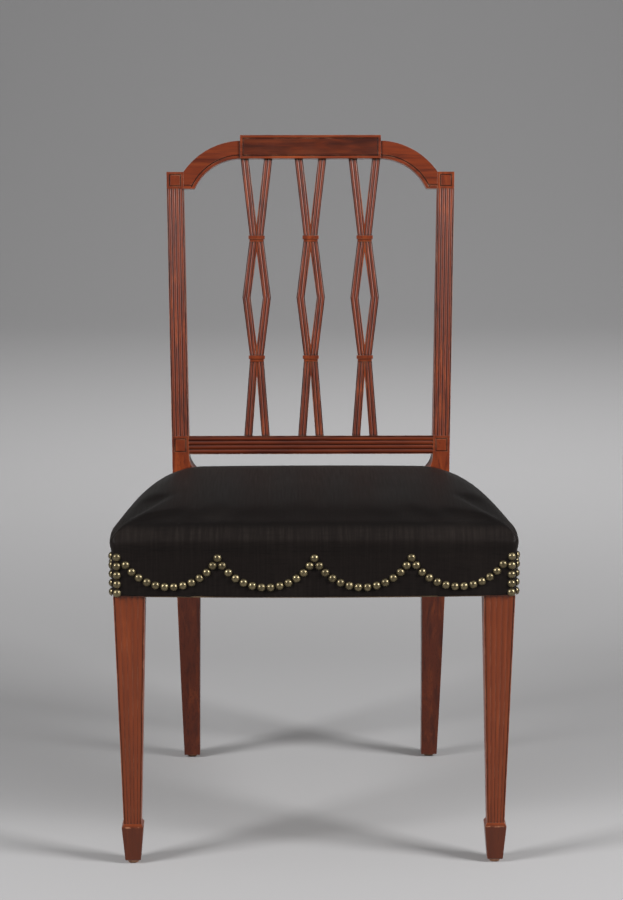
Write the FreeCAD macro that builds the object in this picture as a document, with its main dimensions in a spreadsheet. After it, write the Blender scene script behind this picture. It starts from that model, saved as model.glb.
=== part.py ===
import FreeCAD, Part
import Sketcher
import math
import os
import re

# Side chair with a pierced splat back: mahogany frame joined with mortises and tenons, a seat
# upholstered over the rails on webbing, and domed brass nails set in swags.
# Frame: +Z up, +Y towards the back, origin on the floor under the middle of the bounding box.

DRIVING_SIZES = {
    # Seat frame
    "rail_bottom": 369.0,
    "rail_height": 62.0,
    "rail_thickness": 24.0,
    "front_half": 261.0,
    "front_bow": 8.0,
    "tenon_thickness": 9.0,
    "tenon_length": 18.0,
    "tenon_shoulder": 8.0,
    "joint_clearance": 0.15,
    "glue_gap": 0.1,
    "tenon_root": 1.0,
    "saw_past": 5.0,
    "plane_past": 3.0,
    "rear_rail_setback": 4.0,
    "rear_rail_thickness": 24.0,
    # Front legs
    "leg_top_width": 41.0,
    "leg_ankle_width": 23.2,
    "spade_height": 51.5,
    "spade_width": 28.6,
    "spade_slope": 4.5,
    "toe_width": 20.6,
    "toe_edge": 1.2,
    "leg_reed_proud": 0.9,
    "leg_reed_margin": 1.2,
    "reed_skim": 0.05,
    # Glides under the feet
    "glide_height": 4.5,
    "glide_diameter": 17.6,
    "glide_flat": 13.0,
    "prong_diameter": 2.4,
    "prong_length": 10.0,
    # Rear legs and back posts
    "back_front": 401.5,
    "back_rake": 9.9,
    "rear_floor_half": 188.5,
    "rear_seat_half": 199.2,
    "rear_top_half": 207.0,
    "rear_foot_reach": 58.0,
    "rear_foot_width": 23.0,
    "rear_foot_depth": 25.0,
    "rear_seat_width": 39.2,
    "rear_seat_depth": 38.0,
    "rear_sweep": 1400.0,
    "cove_radius": 31.0,
    "post_bend": 60.0,
    "post_bend_radius": 1200.0,
    "bend_thinning": 1.0,
    "post_width": 24.2,
    "post_top_depth": 19.0,
    "post_drop": 51.7,
    "block_height": 23.7,
    "post_reed_proud": 1.6,
    "post_reed_margin": 0.8,
    "panel_margin": 3.4,
    "panel_groove": 1.3,
    "panel_depth": 1.0,
    # Stay rail, above the seat rails
    "stay_rise": 42.6,
    "stay_width": 25.7,
    "stay_depth": 16.0,
    # Crest rail, its top above the seat rails and the rest below its top
    "back_height": 494.1,
    "crest_depth": 18.0,
    "tablet_overhang": 0.6,
    "tablet_width": 32.9,
    "tablet_proud": 2.5,
    "tablet_bead": 3.6,
    "veneer_recess": 1.8,
    "veneer_thickness": 1.0,
    "veneer_margin": 1.2,
    "shoulder_drop": 7.7,
    "arch_upper_radius": 103.0,
    "arch_lower_radius": 74.0,
    "arch_foot_return": 15.5,
    "arch_bead": 4.2,
    "arch_quirk": 1.5,
    "back_tenon": 11.0,
    "back_tenon_thickness": 8.0,
    "back_tenon_shoulder": 4.0,
    # Splats
    "splat_pitch": 77.8,
    "splat_setback": 3.0,
    "splat_depth": 11.0,
    "splat_top_width": 45.6,
    "splat_neck_width": 19.4,
    "splat_waist_width": 41.0,
    "splat_bottom_width": 36.8,
    "splat_strip": 11.7,
    "splat_reed_proud": 1.5,
    "splat_reed_margin": 0.25,
    "upper_neck_drop": 111.2,
    "lower_neck_rise": 111.8,
    "upper_crotch_rise": 17.9,
    "lozenge_top_drop": 20.2,
    "lozenge_bottom_rise": 17.0,
    "lower_crotch_drop": 25.5,
    "collar_width": 23.2,
    "collar_height": 5.0,
    "collar_proud": 1.6,
    "fillet_width": 20.2,
    "fillet_height": 4.0,
    "fillet_proud": 0.55,
    "splat_tenon": 9.0,
    "splat_tenon_width": 8.0,
    "splat_tenon_thickness": 6.0,
    # Seat upholstery
    "strap_width": 58.0,
    "strap_thickness": 1.6,
    "strap_margin": 8.0,
    "long_strap_pitch": 96.0,
    "cross_strap_pitch": 105.0,
    "sacking_thickness": 1.2,
    "edge_rise": 15.0,
    "crown_rise": 31.0,
    "crown_centre": 180.0,
    "crown_radius": 2000.0,
    "crown_reach": 64.0,
    "crown_spare": 4.2,
    "seat_roll": 22.0,
    "cover_wall": 1.5,
    "cover_gap": 0.3,
    "post_notch": 0.8,
    "corner_ease": 6.0,
    # Corner blocks
    "block_reach": 62.0,
    "block_drop": 6.0,
    # Brass nails
    "nail_diameter": 11.0,
    "nail_dome": 4.2,
    "shank_diameter": 1.8,
    "shank_length": 8.0,
    "swag_depth": 39.0,
    "swag_drop": 9.0,
    "nail_pitch": 12.1,
    "corner_inset": 7.0,
    "swag_end_gap": 5.2,
    "column_pitch": 12.0,
}
FRONT_SWAGS = 4
SIDE_SWAGS = 3
COLUMN_NAILS = 5
LEG_REEDS = 5
POST_REEDS = 4
STAY_REEDS = 4
STRIP_REEDS = 2
ROLL_TURNS = (25, 50, 70)
# A bowed front meets the sides at more than a right angle, so its corner is flatter than a quarter turn
CORNER_FLATTENING = 1.15

doc = FreeCAD.newDocument("splat_back_chair")
sheet = doc.addObject("Spreadsheet::Sheet", "dims")
for row, (alias, size) in enumerate(DRIVING_SIZES.items(), start=1):
    sheet.set(f"A{row}", alias)
    sheet.set(f"B{row}", str(size))
    sheet.setAlias(f"B{row}", alias)
doc.recompute()

ALIASES = re.compile(r"\b(" + "|".join(DRIVING_SIZES) + r")\b")
subparts = {}


def value(text):
    """Number that an expression over the sheet's names comes to."""
    return float(sheet.evalExpression(str(text)))


def bind(item, prop, text):
    """Tie a property to the sheet."""
    item.setExpression(prop, ALIASES.sub(r"dims.\1", str(text)))


# Places that several pieces share, as expressions over the sheet
RAIL_TOP = "(rail_bottom + rail_height)"
LEAN = "(back_rake * 1 deg)"
TAN = f"tan({LEAN})"
COS = f"cos({LEAN})"
SIN = f"sin({LEAN})"
LEG_INNER = "(front_half - leg_top_width)"
LEG_AXIS = "(front_half - leg_top_width / 2)"
BOW_RADIUS = "((front_half ^ 2 + front_bow ^ 2) / (2 * front_bow))"
REAR_REACH = f"(back_front + back_height * {TAN} + crest_depth * {COS})"
FRONT_REACH = "(front_bow + cover_gap + cover_wall + nail_dome)"
MIDDLE = f"(({REAR_REACH} - {FRONT_REACH}) / 2)"
REAR_INNER = "(rear_seat_half - rear_seat_width)"
REAR_FOOT = "(back_front + rear_foot_reach)"

# Heights above the floor
STAY_BOTTOM = f"({RAIL_TOP} + stay_rise)"
STAY_TOP = f"({STAY_BOTTOM} + stay_width)"
TABLET_TOP = f"({RAIL_TOP} + back_height)"
TABLET_BOTTOM = f"({TABLET_TOP} - tablet_width)"
POST_TOP = f"({TABLET_TOP} - post_drop)"
BLOCK_BOTTOM = f"({POST_TOP} - block_height)"
UPPER_NECK = f"({TABLET_BOTTOM} - upper_neck_drop)"
LOWER_NECK = f"({STAY_TOP} + lower_neck_rise)"
SPLAT_WAIST = f"(({UPPER_NECK} + {LOWER_NECK}) / 2)"
EDGE = f"({RAIL_TOP} + edge_rise)"
CROWN = f"({EDGE} + crown_rise)"


def up_slope(height):
    """Distance up the leaning back's front face at a height above the floor."""
    return f"((({height}) - {RAIL_TOP}) / {COS})"


def post_outer(height):
    """Half width over the posts at a height above the seat."""
    return (f"(rear_seat_half + (rear_top_half - rear_seat_half) * (({height}) - {RAIL_TOP})"
            f" / (back_height - post_drop))")


def post_inner(height):
    """Half width between the posts at a height above the seat."""
    return f"({post_outer(height)} - post_width)"


def set_upright(item):
    """Place a piece drawn with Y measured from the front legs' front face."""
    bind(item, "Placement.Base.y", f"-{MIDDLE}")
    return item


def set_leaning(item):
    """Place a piece drawn on the back's own plane: X across, Z up the slope, Y through it."""
    item.Placement.Rotation = FreeCAD.Rotation(FreeCAD.Vector(1, 0, 0), -value("back_rake"))
    bind(item, "Placement.Base.y", f"back_front - {MIDDLE}")
    bind(item, "Placement.Base.z", RAIL_TOP)
    bind(item, "Placement.Rotation.Angle", f"-{LEAN}")
    return item


def outline(body, plane, corners, level, name):
    """Closed sketch. A corner is (across, up) or (across, up, radius, side): the edge that leaves
    it is then an arc that bulges to the left (side 1) or to the right (side -1) of its way."""
    sketch = body.newObject("Sketcher::SketchObject", name)
    origin_plane = next(f for f in body.Origin.OriginFeatures if f.Role == f"{plane}_Plane")
    sketch.AttachmentSupport = (origin_plane, "")
    sketch.MapMode = "FlatFace"
    bind(sketch, "AttachmentOffset.Base.z", level)
    points = [FreeCAD.Vector(value(c[0]), value(c[1]), 0) for c in corners]
    ends = []
    for i, corner in enumerate(corners):
        start, finish = points[i], points[(i + 1) % len(points)]
        if len(corner) == 2:
            geo = sketch.addGeometry(Part.LineSegment(start, finish), False)
            ends.append((geo, 1, 2))
            continue
        radius, side = value(corner[2]), corner[3]
        along = finish - start
        left = FreeCAD.Vector(-along.y, along.x, 0).normalize()
        centre = (start + finish) / 2 - left * side * math.sqrt(radius ** 2 - (along.Length / 2) ** 2)
        turn_start, turn_finish = (finish, start) if side > 0 else (start, finish)
        first = math.atan2(turn_start.y - centre.y, turn_start.x - centre.x)
        last = math.atan2(turn_finish.y - centre.y, turn_finish.x - centre.x)
        if last < first:
            last += 2 * math.pi
        circle = Part.Circle(centre, FreeCAD.Vector(0, 0, 1), radius)
        geo = sketch.addGeometry(Part.ArcOfCircle(circle, first, last), False)
        ends.append((geo, 2, 1) if side > 0 else (geo, 1, 2))
        tie = sketch.addConstraint(Sketcher.Constraint("Radius", geo, radius))
        bind(sketch, f"Constraints[{tie}]", corner[2])
    for i, corner in enumerate(corners):
        geo, start_point, end_point = ends[i]
        next_geo, next_start, _ = ends[(i + 1) % len(ends)]
        sketch.addConstraint(Sketcher.Constraint("Coincident", geo, end_point, next_geo, next_start))
        for kind, place, text in (("DistanceX", points[i].x, corner[0]),
                                  ("DistanceY", points[i].y, corner[1])):
            tie = sketch.addConstraint(Sketcher.Constraint(kind, -1, 1, geo, start_point, place))
            bind(sketch, f"Constraints[{tie}]", text)
    return sketch


def board(name, plane, corners, low, high, place=set_upright):
    """Outline drawn on a plane and sawn from one level to another along the plane's axis."""
    body = doc.addObject("PartDesign::Body", name)
    start = f"-({high})" if plane == "XZ" else low
    sketch = outline(body, plane, corners, start, f"{name}_outline")
    pad = body.newObject("PartDesign::Pad", f"{name}_pad")
    pad.Profile = sketch
    bind(pad, "Length", f"({high}) - ({low})")
    sketch.Visibility = False
    return place(body)


def block(name, x, y, z, place=set_upright):
    """Squared block between pairs of expressions."""
    box = doc.addObject("Part::Box", name)
    for prop, (low, high) in zip(("Length", "Width", "Height"), (x, y, z)):
        bind(box, prop, f"({high}) - ({low})")
    holder = doc.addObject("Part::Compound", f"{name}_placed")
    holder.Links = [box]
    for axis, (low, _) in zip("xyz", (x, y, z)):
        bind(box, f"Placement.Base.{axis}", low)
    return place(holder)


def taper(name, sections, place=set_upright):
    """Solid ruled between outlines on level planes, each given as (corners, level)."""
    body = doc.addObject("PartDesign::Body", name)
    sketches = [outline(body, "XY", corners, level, f"{name}_section") for corners, level in sections]
    loft = body.newObject("PartDesign::AdditiveLoft", f"{name}_loft")
    loft.Profile = sketches[0]
    loft.Sections = sketches[1:]
    loft.Ruled = True
    return place(body)


def square_section(half_width, centre_x, centre_y):
    """Corners of a square round a centre."""
    return [(f"{centre_x} - {half_width}", f"{centre_y} - {half_width}"),
            (f"{centre_x} + {half_width}", f"{centre_y} - {half_width}"),
            (f"{centre_x} + {half_width}", f"{centre_y} + {half_width}"),
            (f"{centre_x} - {half_width}", f"{centre_y} + {half_width}")]


def reed_section(reeds, centre, width, face, proud):
    """What the reeding plane takes off: the space in front of a row of round reeds."""
    reed = f"(({width}) / {reeds})"
    radius = f"(({reed} ^ 2 / 4 + {proud} ^ 2) / (2 * {proud}))"
    left = f"({centre}) - ({width}) / 2"
    valley = f"({face}) + reed_skim + {proud}"
    corners = [(f"{left} + {i} * {reed}", valley, radius, -1) for i in range(reeds)]
    corners.append((f"{left} + {reeds} * {reed}", valley))
    corners.append((f"{left} + {reeds} * {reed}", f"({face}) - plane_past"))
    corners.append((left, f"({face}) - plane_past"))
    return corners


def joined(kind, name, first, others):
    """Boolean of one object with several."""
    if kind == "Part::Cut" and len(others) > 1:
        tools = doc.addObject("Part::Compound", f"{name}_tools")
        tools.Links = others
        others = [tools]
    if kind == "Part::Fuse":
        result = doc.addObject("Part::MultiFuse", name)
        result.Shapes = [first] + others
        return result
    result = doc.addObject(kind, name)
    result.Base = first
    result.Tool = others[0]
    return result


def mirrored(name, source, about="0"):
    """The other hand of a piece, about the middle of the chair or a plane beside it."""
    result = doc.addObject("Part::Mirroring", name)
    result.Source = source
    result.Normal = FreeCAD.Vector(1, 0, 0)
    bind(result, "Base.x", about)
    return result


def hand_in(node, item):
    """Name a finished sub-part."""
    item.Label = node
    subparts[node] = item


# Shared places of the seat frame
RAIL_SPAN = ("rail_bottom", RAIL_TOP)
TENON_SPAN = ("rail_bottom + tenon_shoulder", f"{RAIL_TOP} - tenon_shoulder")
SIDE_REAR = f"(rear_floor_half + (rear_seat_half - rear_floor_half) * rail_bottom / {RAIL_TOP})"
SIDE_SLOPE = f"((front_half - {SIDE_REAR}) / (back_front - leg_top_width))"
RAIL_STEP = f"(sqrt({BOW_RADIUS} ^ 2 - {LEG_INNER} ^ 2) - ({BOW_RADIUS} - front_bow))"
REAR_RAIL_FRONT = "(back_front + rear_rail_setback)"


def side_outer(y):
    """Half width over the side rails at a distance back from the front."""
    return f"(front_half - {SIDE_SLOPE} * max(0; ({y}) - leg_top_width))"


def middle_of(low, high, size):
    """Pair of expressions for a size centred between two others."""
    return (f"(({low}) + ({high}) - {size}) / 2", f"(({low}) + ({high}) + {size}) / 2")


def eased(pair, extra="joint_clearance"):
    """A pair of limits opened by a clearance at both ends."""
    return (f"({pair[0]}) - {extra}", f"({pair[1]}) + {extra}")


def tenon_and_mortise(name, x, y, z, place=set_upright):
    """Tenon block and the mortise cutter that takes it with clearance all round."""
    tenon = block(f"{name}_tenon", x, y, z, place)
    mortise = block(f"{name}_mortise", eased(x), eased(y), eased(z), place)
    return tenon, mortise


# Tenons of the seat frame's right half, each with its mortise
FRONT_TENON_X = (f"{LEG_INNER} - joint_clearance", f"{LEG_INNER} + tenon_length")
SIDE_MIDDLE_FRONT = f"({side_outer('leg_top_width')} - rail_thickness / 2)"
SIDE_MIDDLE_REAR = f"({side_outer('back_front')} - rail_thickness / 2)"
front_tenon, front_mortise = tenon_and_mortise(
    "front_rail_end", FRONT_TENON_X, middle_of("0", "rail_thickness", "tenon_thickness"), TENON_SPAN)
side_front_tenon, side_front_mortise = tenon_and_mortise(
    "side_rail_front_end",
    middle_of(SIDE_MIDDLE_FRONT, SIDE_MIDDLE_FRONT, "tenon_thickness"),
    ("leg_top_width - tenon_length", "leg_top_width + joint_clearance"), TENON_SPAN)
side_rear_tenon, side_rear_mortise = tenon_and_mortise(
    "side_rail_rear_end",
    middle_of(SIDE_MIDDLE_REAR, SIDE_MIDDLE_REAR, "tenon_thickness"),
    ("back_front - joint_clearance", "back_front + tenon_length"), TENON_SPAN)
rear_tenon, rear_mortise = tenon_and_mortise(
    "rear_rail_end", (f"{REAR_INNER} - joint_clearance", f"{REAR_INNER} + tenon_length"),
    middle_of(REAR_RAIL_FRONT, f"{REAR_RAIL_FRONT} + rear_rail_thickness", "tenon_thickness"), TENON_SPAN)


# Brass nails: where each one sits on the cover, as (point, outward direction)
def swag_places(length, swags):
    """Distances along a face and drops below the peaks, for swags hung between end columns."""
    first = value("corner_inset + swag_end_gap")
    span = (length - 2 * first) / swags
    sag = value("swag_depth")
    radius = ((span / 2) ** 2 + sag ** 2) / (2 * sag)
    reach = math.asin(span / 2 / radius)
    gaps = max(2, round(2 * reach * radius / value("nail_pitch")))
    places = []
    for swag in range(swags):
        middle = first + span * (swag + 0.5)
        for step in range(1, gaps):
            angle = reach * (2 * step / gaps - 1)
            places.append((middle + radius * math.sin(angle), sag - radius * (1 - math.cos(angle))))
        if swag:
            places.append((first + span * swag, 0.0))
    return places


def column_places(along):
    """Distances and drops of a column of nails at a corner."""
    return [(along, step * value("column_pitch")) for step in range(COLUMN_NAILS)]


COVER_OUT = value("cover_gap + cover_wall")
PEAK_HEIGHT = value(f"{RAIL_TOP} - swag_drop")
COVER_BOW_RADIUS = value(BOW_RADIUS) + COVER_OUT
BOW_CENTRE = value(f"{BOW_RADIUS} - front_bow - {MIDDLE}")
FRONT_ANGLE = math.asin((value("front_half") + COVER_OUT) / COVER_BOW_RADIUS)


def on_front(along, drop):
    """Point and direction on the bowed front, measured from its left end."""
    angle = along / COVER_BOW_RADIUS - FRONT_ANGLE
    outward = FreeCAD.Vector(math.sin(angle), -math.cos(angle), 0)
    return FreeCAD.Vector(0, BOW_CENTRE, PEAK_HEIGHT - drop) + outward * COVER_BOW_RADIUS, outward


def side_point(y):
    """Point on the cover's right side, along the front leg's outer face and then the side rail."""
    return FreeCAD.Vector(value(side_outer(y)) + COVER_OUT, value(f"{y} - {MIDDLE}"), 0)


SIDE_START = side_point("0")
SIDE_TURN = side_point("leg_top_width")
SIDE_END = side_point("(back_front - post_notch)")
TURN_AT = (SIDE_TURN - SIDE_START).Length


def on_right_side(along, drop):
    """Point and direction on the right side, measured from the front corner."""
    start, finish = (SIDE_START, SIDE_TURN) if along < TURN_AT else (SIDE_TURN, SIDE_END)
    past = along if along < TURN_AT else along - TURN_AT
    back = (finish - start).normalize()
    outward = FreeCAD.Vector(back.y, -back.x, 0)
    return start + back * past + FreeCAD.Vector(0, 0, PEAK_HEIGHT - drop), outward


def nail_shape():
    """Domed head with its tapered shank, head seated on z = 0."""
    rim = FreeCAD.Vector(value("nail_diameter / 2"), 0, 0)
    crown = FreeCAD.Vector(0, 0, value("nail_dome"))
    sphere = (rim.x ** 2 + crown.z ** 2) / (2 * crown.z)
    lean = math.asin(rim.x / sphere) / 2
    shoulder = FreeCAD.Vector(sphere * math.sin(lean), 0, crown.z - sphere * (1 - math.cos(lean)))
    neck = FreeCAD.Vector(value("shank_diameter / 2"), 0, 0)
    tip = FreeCAD.Vector(0, 0, -value("shank_length"))
    edges = [Part.Arc(crown, shoulder, rim).toShape(), Part.makeLine(rim, neck),
             Part.makeLine(neck, tip), Part.makeLine(tip, crown)]
    face = Part.Face(Part.Wire(edges))
    return face.revolve(FreeCAD.Vector(), FreeCAD.Vector(0, 0, 1), 360)


def hole_shape():
    """Straight hole that a nail's shank is driven into."""
    radius = value("shank_diameter / 2 + joint_clearance")
    depth = value("shank_length + joint_clearance")
    return Part.makeCylinder(radius, depth + value("saw_past"), FreeCAD.Vector(0, 0, -depth))


def row_of(shape, seats):
    """Copies of a shape turned to each seat's direction, as one compound."""
    copies = []
    for point, outward in seats:
        turn = FreeCAD.Rotation(FreeCAD.Vector(0, 0, 1), outward)
        copy = shape.copy()
        copy.Placement = FreeCAD.Placement(point, turn)
        copies.append(copy)
    return Part.makeCompound(copies)


def group(name, shape):
    """Object that holds a compound of like pieces."""
    item = doc.addObject("Part::Feature", name)
    item.Shape = shape
    return item


FRONT_LENGTH = 2 * FRONT_ANGLE * COVER_BOW_RADIUS
SIDE_LENGTH = TURN_AT + (SIDE_END - SIDE_TURN).Length
front_swags = [on_front(*place) for place in swag_places(FRONT_LENGTH, FRONT_SWAGS)]
front_columns = [on_front(*place)
                 for along in (value("corner_inset"), FRONT_LENGTH - value("corner_inset"))
                 for place in column_places(along)]
side_places = swag_places(SIDE_LENGTH, SIDE_SWAGS)
for along in (value("corner_inset"), SIDE_LENGTH - value("corner_inset")):
    side_places += column_places(along)
right_side = [on_right_side(*place) for place in side_places]
NAIL = nail_shape()
HOLE = hole_shape()
front_holes = group("front_nail_holes", row_of(HOLE, front_swags + front_columns))
side_holes = group("side_nail_holes", row_of(HOLE, right_side))
left_holes = mirrored("left_nail_holes", side_holes)
hand_in("front_swag_nails", group("front_swags", row_of(NAIL, front_swags)))
hand_in("front_corner_nails", group("front_columns", row_of(NAIL, front_columns)))
right_nails = group("right_nails", row_of(NAIL, right_side))
hand_in("right_side_nails", right_nails)
hand_in("left_side_nails", mirrored("left_nails", right_nails))


# Foot glides: domed steel buttons on a prong
def glide(name, x, y):
    """Glide under a foot and the cutter for its prong's hole."""
    cap = doc.addObject("Part::Cone", f"{name}_cap")
    bind(cap, "Radius1", "glide_flat / 2")
    bind(cap, "Radius2", "glide_diameter / 2")
    bind(cap, "Height", "glide_height")
    prong = doc.addObject("Part::Cylinder", f"{name}_prong")
    bind(prong, "Radius", "prong_diameter / 2")
    bind(prong, "Height", "glide_height + prong_length")
    hole = doc.addObject("Part::Cylinder", f"{name}_hole")
    bind(hole, "Radius", "prong_diameter / 2 + joint_clearance")
    bind(hole, "Height", "glide_height + prong_length + joint_clearance")
    for item in (cap, prong, hole):
        bind(item, "Placement.Base.x", x)
        bind(item, "Placement.Base.y", f"({y}) - {MIDDLE}")
    return joined("Part::Fuse", name, cap, [prong]), hole


# Front legs: square taper, reeded on the front and outer faces, on spade feet
def front_leg():
    ankle = "spade_height + spade_slope"
    sections = [("toe_width / 2 - toe_edge", "glide_height"),
                ("toe_width / 2", "glide_height + toe_edge"),
                ("spade_width / 2", "spade_height"),
                ("leg_ankle_width / 2", ankle),
                ("leg_top_width / 2", "rail_bottom"),
                ("leg_top_width / 2", RAIL_TOP)]
    shaft = taper("leg_shaft", [(square_section(f"({half})", LEG_AXIS, "leg_top_width / 2"), level)
                                for half, level in sections])
    cuts = [front_mortise, side_front_mortise, front_holes, side_holes]

    def reeds_at(width, level):
        reeded = f"{width} - 2 * leg_reed_margin"
        return reed_section(LEG_REEDS, "0", reeded, f"-{width} / 2", "leg_reed_proud"), level
    for face, angle in (("front", 0), ("side", 90)):
        def at_leg_axis(item, angle=angle):
            item.Placement.Rotation = FreeCAD.Rotation(FreeCAD.Vector(0, 0, 1), angle)
            bind(item, "Placement.Base.x", LEG_AXIS)
            bind(item, "Placement.Base.y", f"leg_top_width / 2 - {MIDDLE}")
            return item
        cuts.append(taper(f"leg_{face}_reeds", [reeds_at("leg_ankle_width", ankle),
                                                reeds_at("leg_top_width", "rail_bottom")], at_leg_axis))
    # The corner under the cover is eased so that the cloth turns it softly
    outside = "front_half + saw_past"
    cuts.append(board("leg_corner", "XY", [
        ("front_half - corner_ease", "-saw_past"), (outside, "-saw_past"), (outside, "corner_ease"),
        ("front_half", "corner_ease", "corner_ease", 1), ("front_half - corner_ease", "0")],
        "rail_bottom", f"{RAIL_TOP} + saw_past"))
    button, hole = glide("front_glide", LEG_AXIS, "leg_top_width / 2")
    cuts.append(hole)
    leg = joined("Part::Cut", "front_leg", shaft, cuts)
    hand_in("front_leg_right", leg)
    hand_in("front_leg_left", mirrored("front_leg_other", leg))
    hand_in("front_glide_right", button)
    hand_in("front_glide_left", mirrored("front_glide_other", button))


front_leg()


# Tenons of the back's right half, each with its mortise
def back_end(name, low, high, depth):
    """Tenon of a back rail between two heights, and its mortise in the post."""
    along = (f"{post_inner(low)} - tenon_root", f"{post_inner(high)} + back_tenon")
    up = (f"{up_slope(low)} + back_tenon_shoulder", f"{up_slope(high)} - back_tenon_shoulder")
    return tenon_and_mortise(name, along, middle_of("0", depth, "back_tenon_thickness"), up, set_leaning)


stay_tenon, stay_mortise = back_end("stay_end", STAY_BOTTOM, STAY_TOP, "stay_depth")
crest_tenon, crest_mortise = back_end("crest_end", BLOCK_BOTTOM, POST_TOP, "crest_depth")

# The cove that narrows each post ends just below the stay rail's rear corner
COVE_TOP = f"({STAY_BOTTOM} - stay_depth * {SIN} - glue_gap)"
COVE_REACH = f"({post_inner(COVE_TOP)} - {REAR_INNER})"
COVE_FOOT = f"({COVE_TOP} - sqrt(cove_radius ^ 2 - (cove_radius - {COVE_REACH}) ^ 2))"


# Rear legs and posts: one piece from floor to crest, sawn to a front and a side outline
def rear_post():
    above = f"({POST_TOP} + saw_past)"
    foot_back = f"({REAR_FOOT} + rear_foot_depth)"
    front_view = board("post_front_view", "XZ", [
        ("rear_floor_half - rear_foot_width", "glide_height"),
        (REAR_INNER, "rail_bottom"),
        (REAR_INNER, COVE_FOOT, "cove_radius", -1),
        (post_inner(COVE_TOP), COVE_TOP),
        (post_inner(above), above),
        (post_outer(above), above),
        ("rear_seat_half", RAIL_TOP),
        ("rear_floor_half", "glide_height")],
        "back_front - saw_past", f"max({REAR_REACH}; {foot_back}) + saw_past")
    bend_low = "(rail_bottom - tenon_shoulder)"
    back_at_bend = f"(back_front + post_bend * {TAN} + rear_seat_depth - bend_thinning)"
    front_at_top = f"(back_front + (back_height - post_drop) * {TAN})"
    side_view = board("post_side_view", "YZ", [
        (REAR_FOOT, "glide_height", "rear_sweep", 1),
        ("back_front", bend_low),
        ("back_front", RAIL_TOP),
        (front_at_top, POST_TOP),
        (f"{front_at_top} + post_top_depth * {COS}", f"{POST_TOP} - post_top_depth * {SIN}"),
        (back_at_bend, f"({RAIL_TOP} + post_bend)", "post_bend_radius", -1),
        ("back_front + rear_seat_depth", bend_low, "rear_sweep", -1),
        (foot_back, "glide_height")],
        f"{REAR_INNER} - saw_past", "max(rear_seat_half; rear_top_half) + saw_past")
    blank = joined("Part::Common", "post_blank", front_view, [side_view])
    cuts = [side_rear_mortise, rear_mortise, stay_mortise, crest_mortise]

    def reeds_at(height):
        centre = f"{post_outer(height)} - post_width / 2"
        reeded = "post_width - 2 * post_reed_margin"
        return reed_section(POST_REEDS, centre, reeded, "0", "post_reed_proud"), up_slope(height)
    cuts.append(taper("post_reeds", [reeds_at(STAY_TOP), reeds_at(BLOCK_BOTTOM)], set_leaning))
    for place, low, high in (("top", BLOCK_BOTTOM, POST_TOP), ("stay", STAY_BOTTOM, STAY_TOP)):
        across = (f"{post_inner(high)} + panel_margin", f"{post_outer(low)} - panel_margin")
        up = (f"{up_slope(low)} + panel_margin", f"{up_slope(high)} - panel_margin")
        square = block(f"{place}_panel", across, ("-saw_past", "panel_depth"), up, set_leaning)
        field = block(f"{place}_panel_field", eased(across, "-panel_groove"),
                      ("-2 * saw_past", "panel_depth + saw_past"), eased(up, "-panel_groove"), set_leaning)
        cuts.append(joined("Part::Cut", f"{place}_panel_line", square, [field]))
    button, hole = glide("rear_glide", "rear_floor_half - rear_foot_width / 2",
                         f"{REAR_FOOT} + rear_foot_depth / 2")
    cuts.append(hole)
    post = joined("Part::Cut", "rear_post", blank, cuts)
    hand_in("rear_post_right", post)
    hand_in("rear_post_left", mirrored("rear_post_other", post))
    hand_in("rear_glide_right", button)
    hand_in("rear_glide_left", mirrored("rear_glide_other", button))


rear_post()


# Seat rails
def seat_rails():
    front = board("front_rail_board", "XY", [
        (f"-{LEG_INNER}", f"-{RAIL_STEP}", BOW_RADIUS, -1), (LEG_INNER, f"-{RAIL_STEP}"),
        (LEG_INNER, "rail_thickness"), (f"-{LEG_INNER}", "rail_thickness")], *RAIL_SPAN)
    tenons = [front_tenon, mirrored("front_tenon_other", front_tenon)]
    whole = joined("Part::Fuse", "front_rail_whole", front, tenons)
    hand_in("front_rail", joined("Part::Cut", "front_rail", whole, [front_holes]))
    side = board("side_rail_board", "XY", [
        (side_outer("leg_top_width"), "leg_top_width"), (side_outer("back_front"), "back_front"),
        (f"{side_outer('back_front')} - rail_thickness", "back_front"),
        (f"{side_outer('leg_top_width')} - rail_thickness", "leg_top_width")], *RAIL_SPAN)
    whole = joined("Part::Fuse", "side_rail_whole", side, [side_front_tenon, side_rear_tenon])
    right = joined("Part::Cut", "side_rail", whole, [side_holes])
    hand_in("side_rail_right", right)
    hand_in("side_rail_left", mirrored("side_rail_other", right))
    rear = block("rear_rail_board", (f"-{REAR_INNER}", REAR_INNER),
                 (REAR_RAIL_FRONT, f"{REAR_RAIL_FRONT} + rear_rail_thickness"), RAIL_SPAN)
    tenons = [rear_tenon, mirrored("rear_tenon_other", rear_tenon)]
    hand_in("rear_rail", joined("Part::Fuse", "rear_rail", rear, tenons))


seat_rails()


# Glue blocks in the four corners of the seat frame
def corner_blocks():
    span = ("rail_bottom + block_drop", f"{RAIL_TOP} - block_drop")

    def side_face(y):
        return f"({side_outer(y)} - rail_thickness - glue_gap)"
    leg_back = "(leg_top_width + glue_gap)"
    rail_back = "(rail_thickness + glue_gap)"
    leg_side = f"({LEG_INNER} - glue_gap)"
    reach_front = "(leg_top_width + block_reach)"
    front = board("front_block", "XY", [
        (f"{LEG_INNER} - block_reach", rail_back), (leg_side, rail_back), (leg_side, leg_back),
        (side_face(leg_back), leg_back), (side_face(reach_front), reach_front)], *span)
    post_front = "(back_front - glue_gap)"
    post_side = f"({REAR_INNER} - glue_gap)"
    rail_front = f"({REAR_RAIL_FRONT} - glue_gap)"
    reach_rear = "(back_front - block_reach)"
    rear = board("rear_block", "XY", [
        (side_face(reach_rear), reach_rear), (side_face(post_front), post_front), (post_side, post_front),
        (post_side, rail_front), (f"{REAR_INNER} - block_reach", rail_front)], *span)
    for place, item in (("front", front), ("rear", rear)):
        hand_in(f"{place}_block_right", item)
        hand_in(f"{place}_block_left", mirrored(f"{place}_block_other", item))


corner_blocks()


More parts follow.
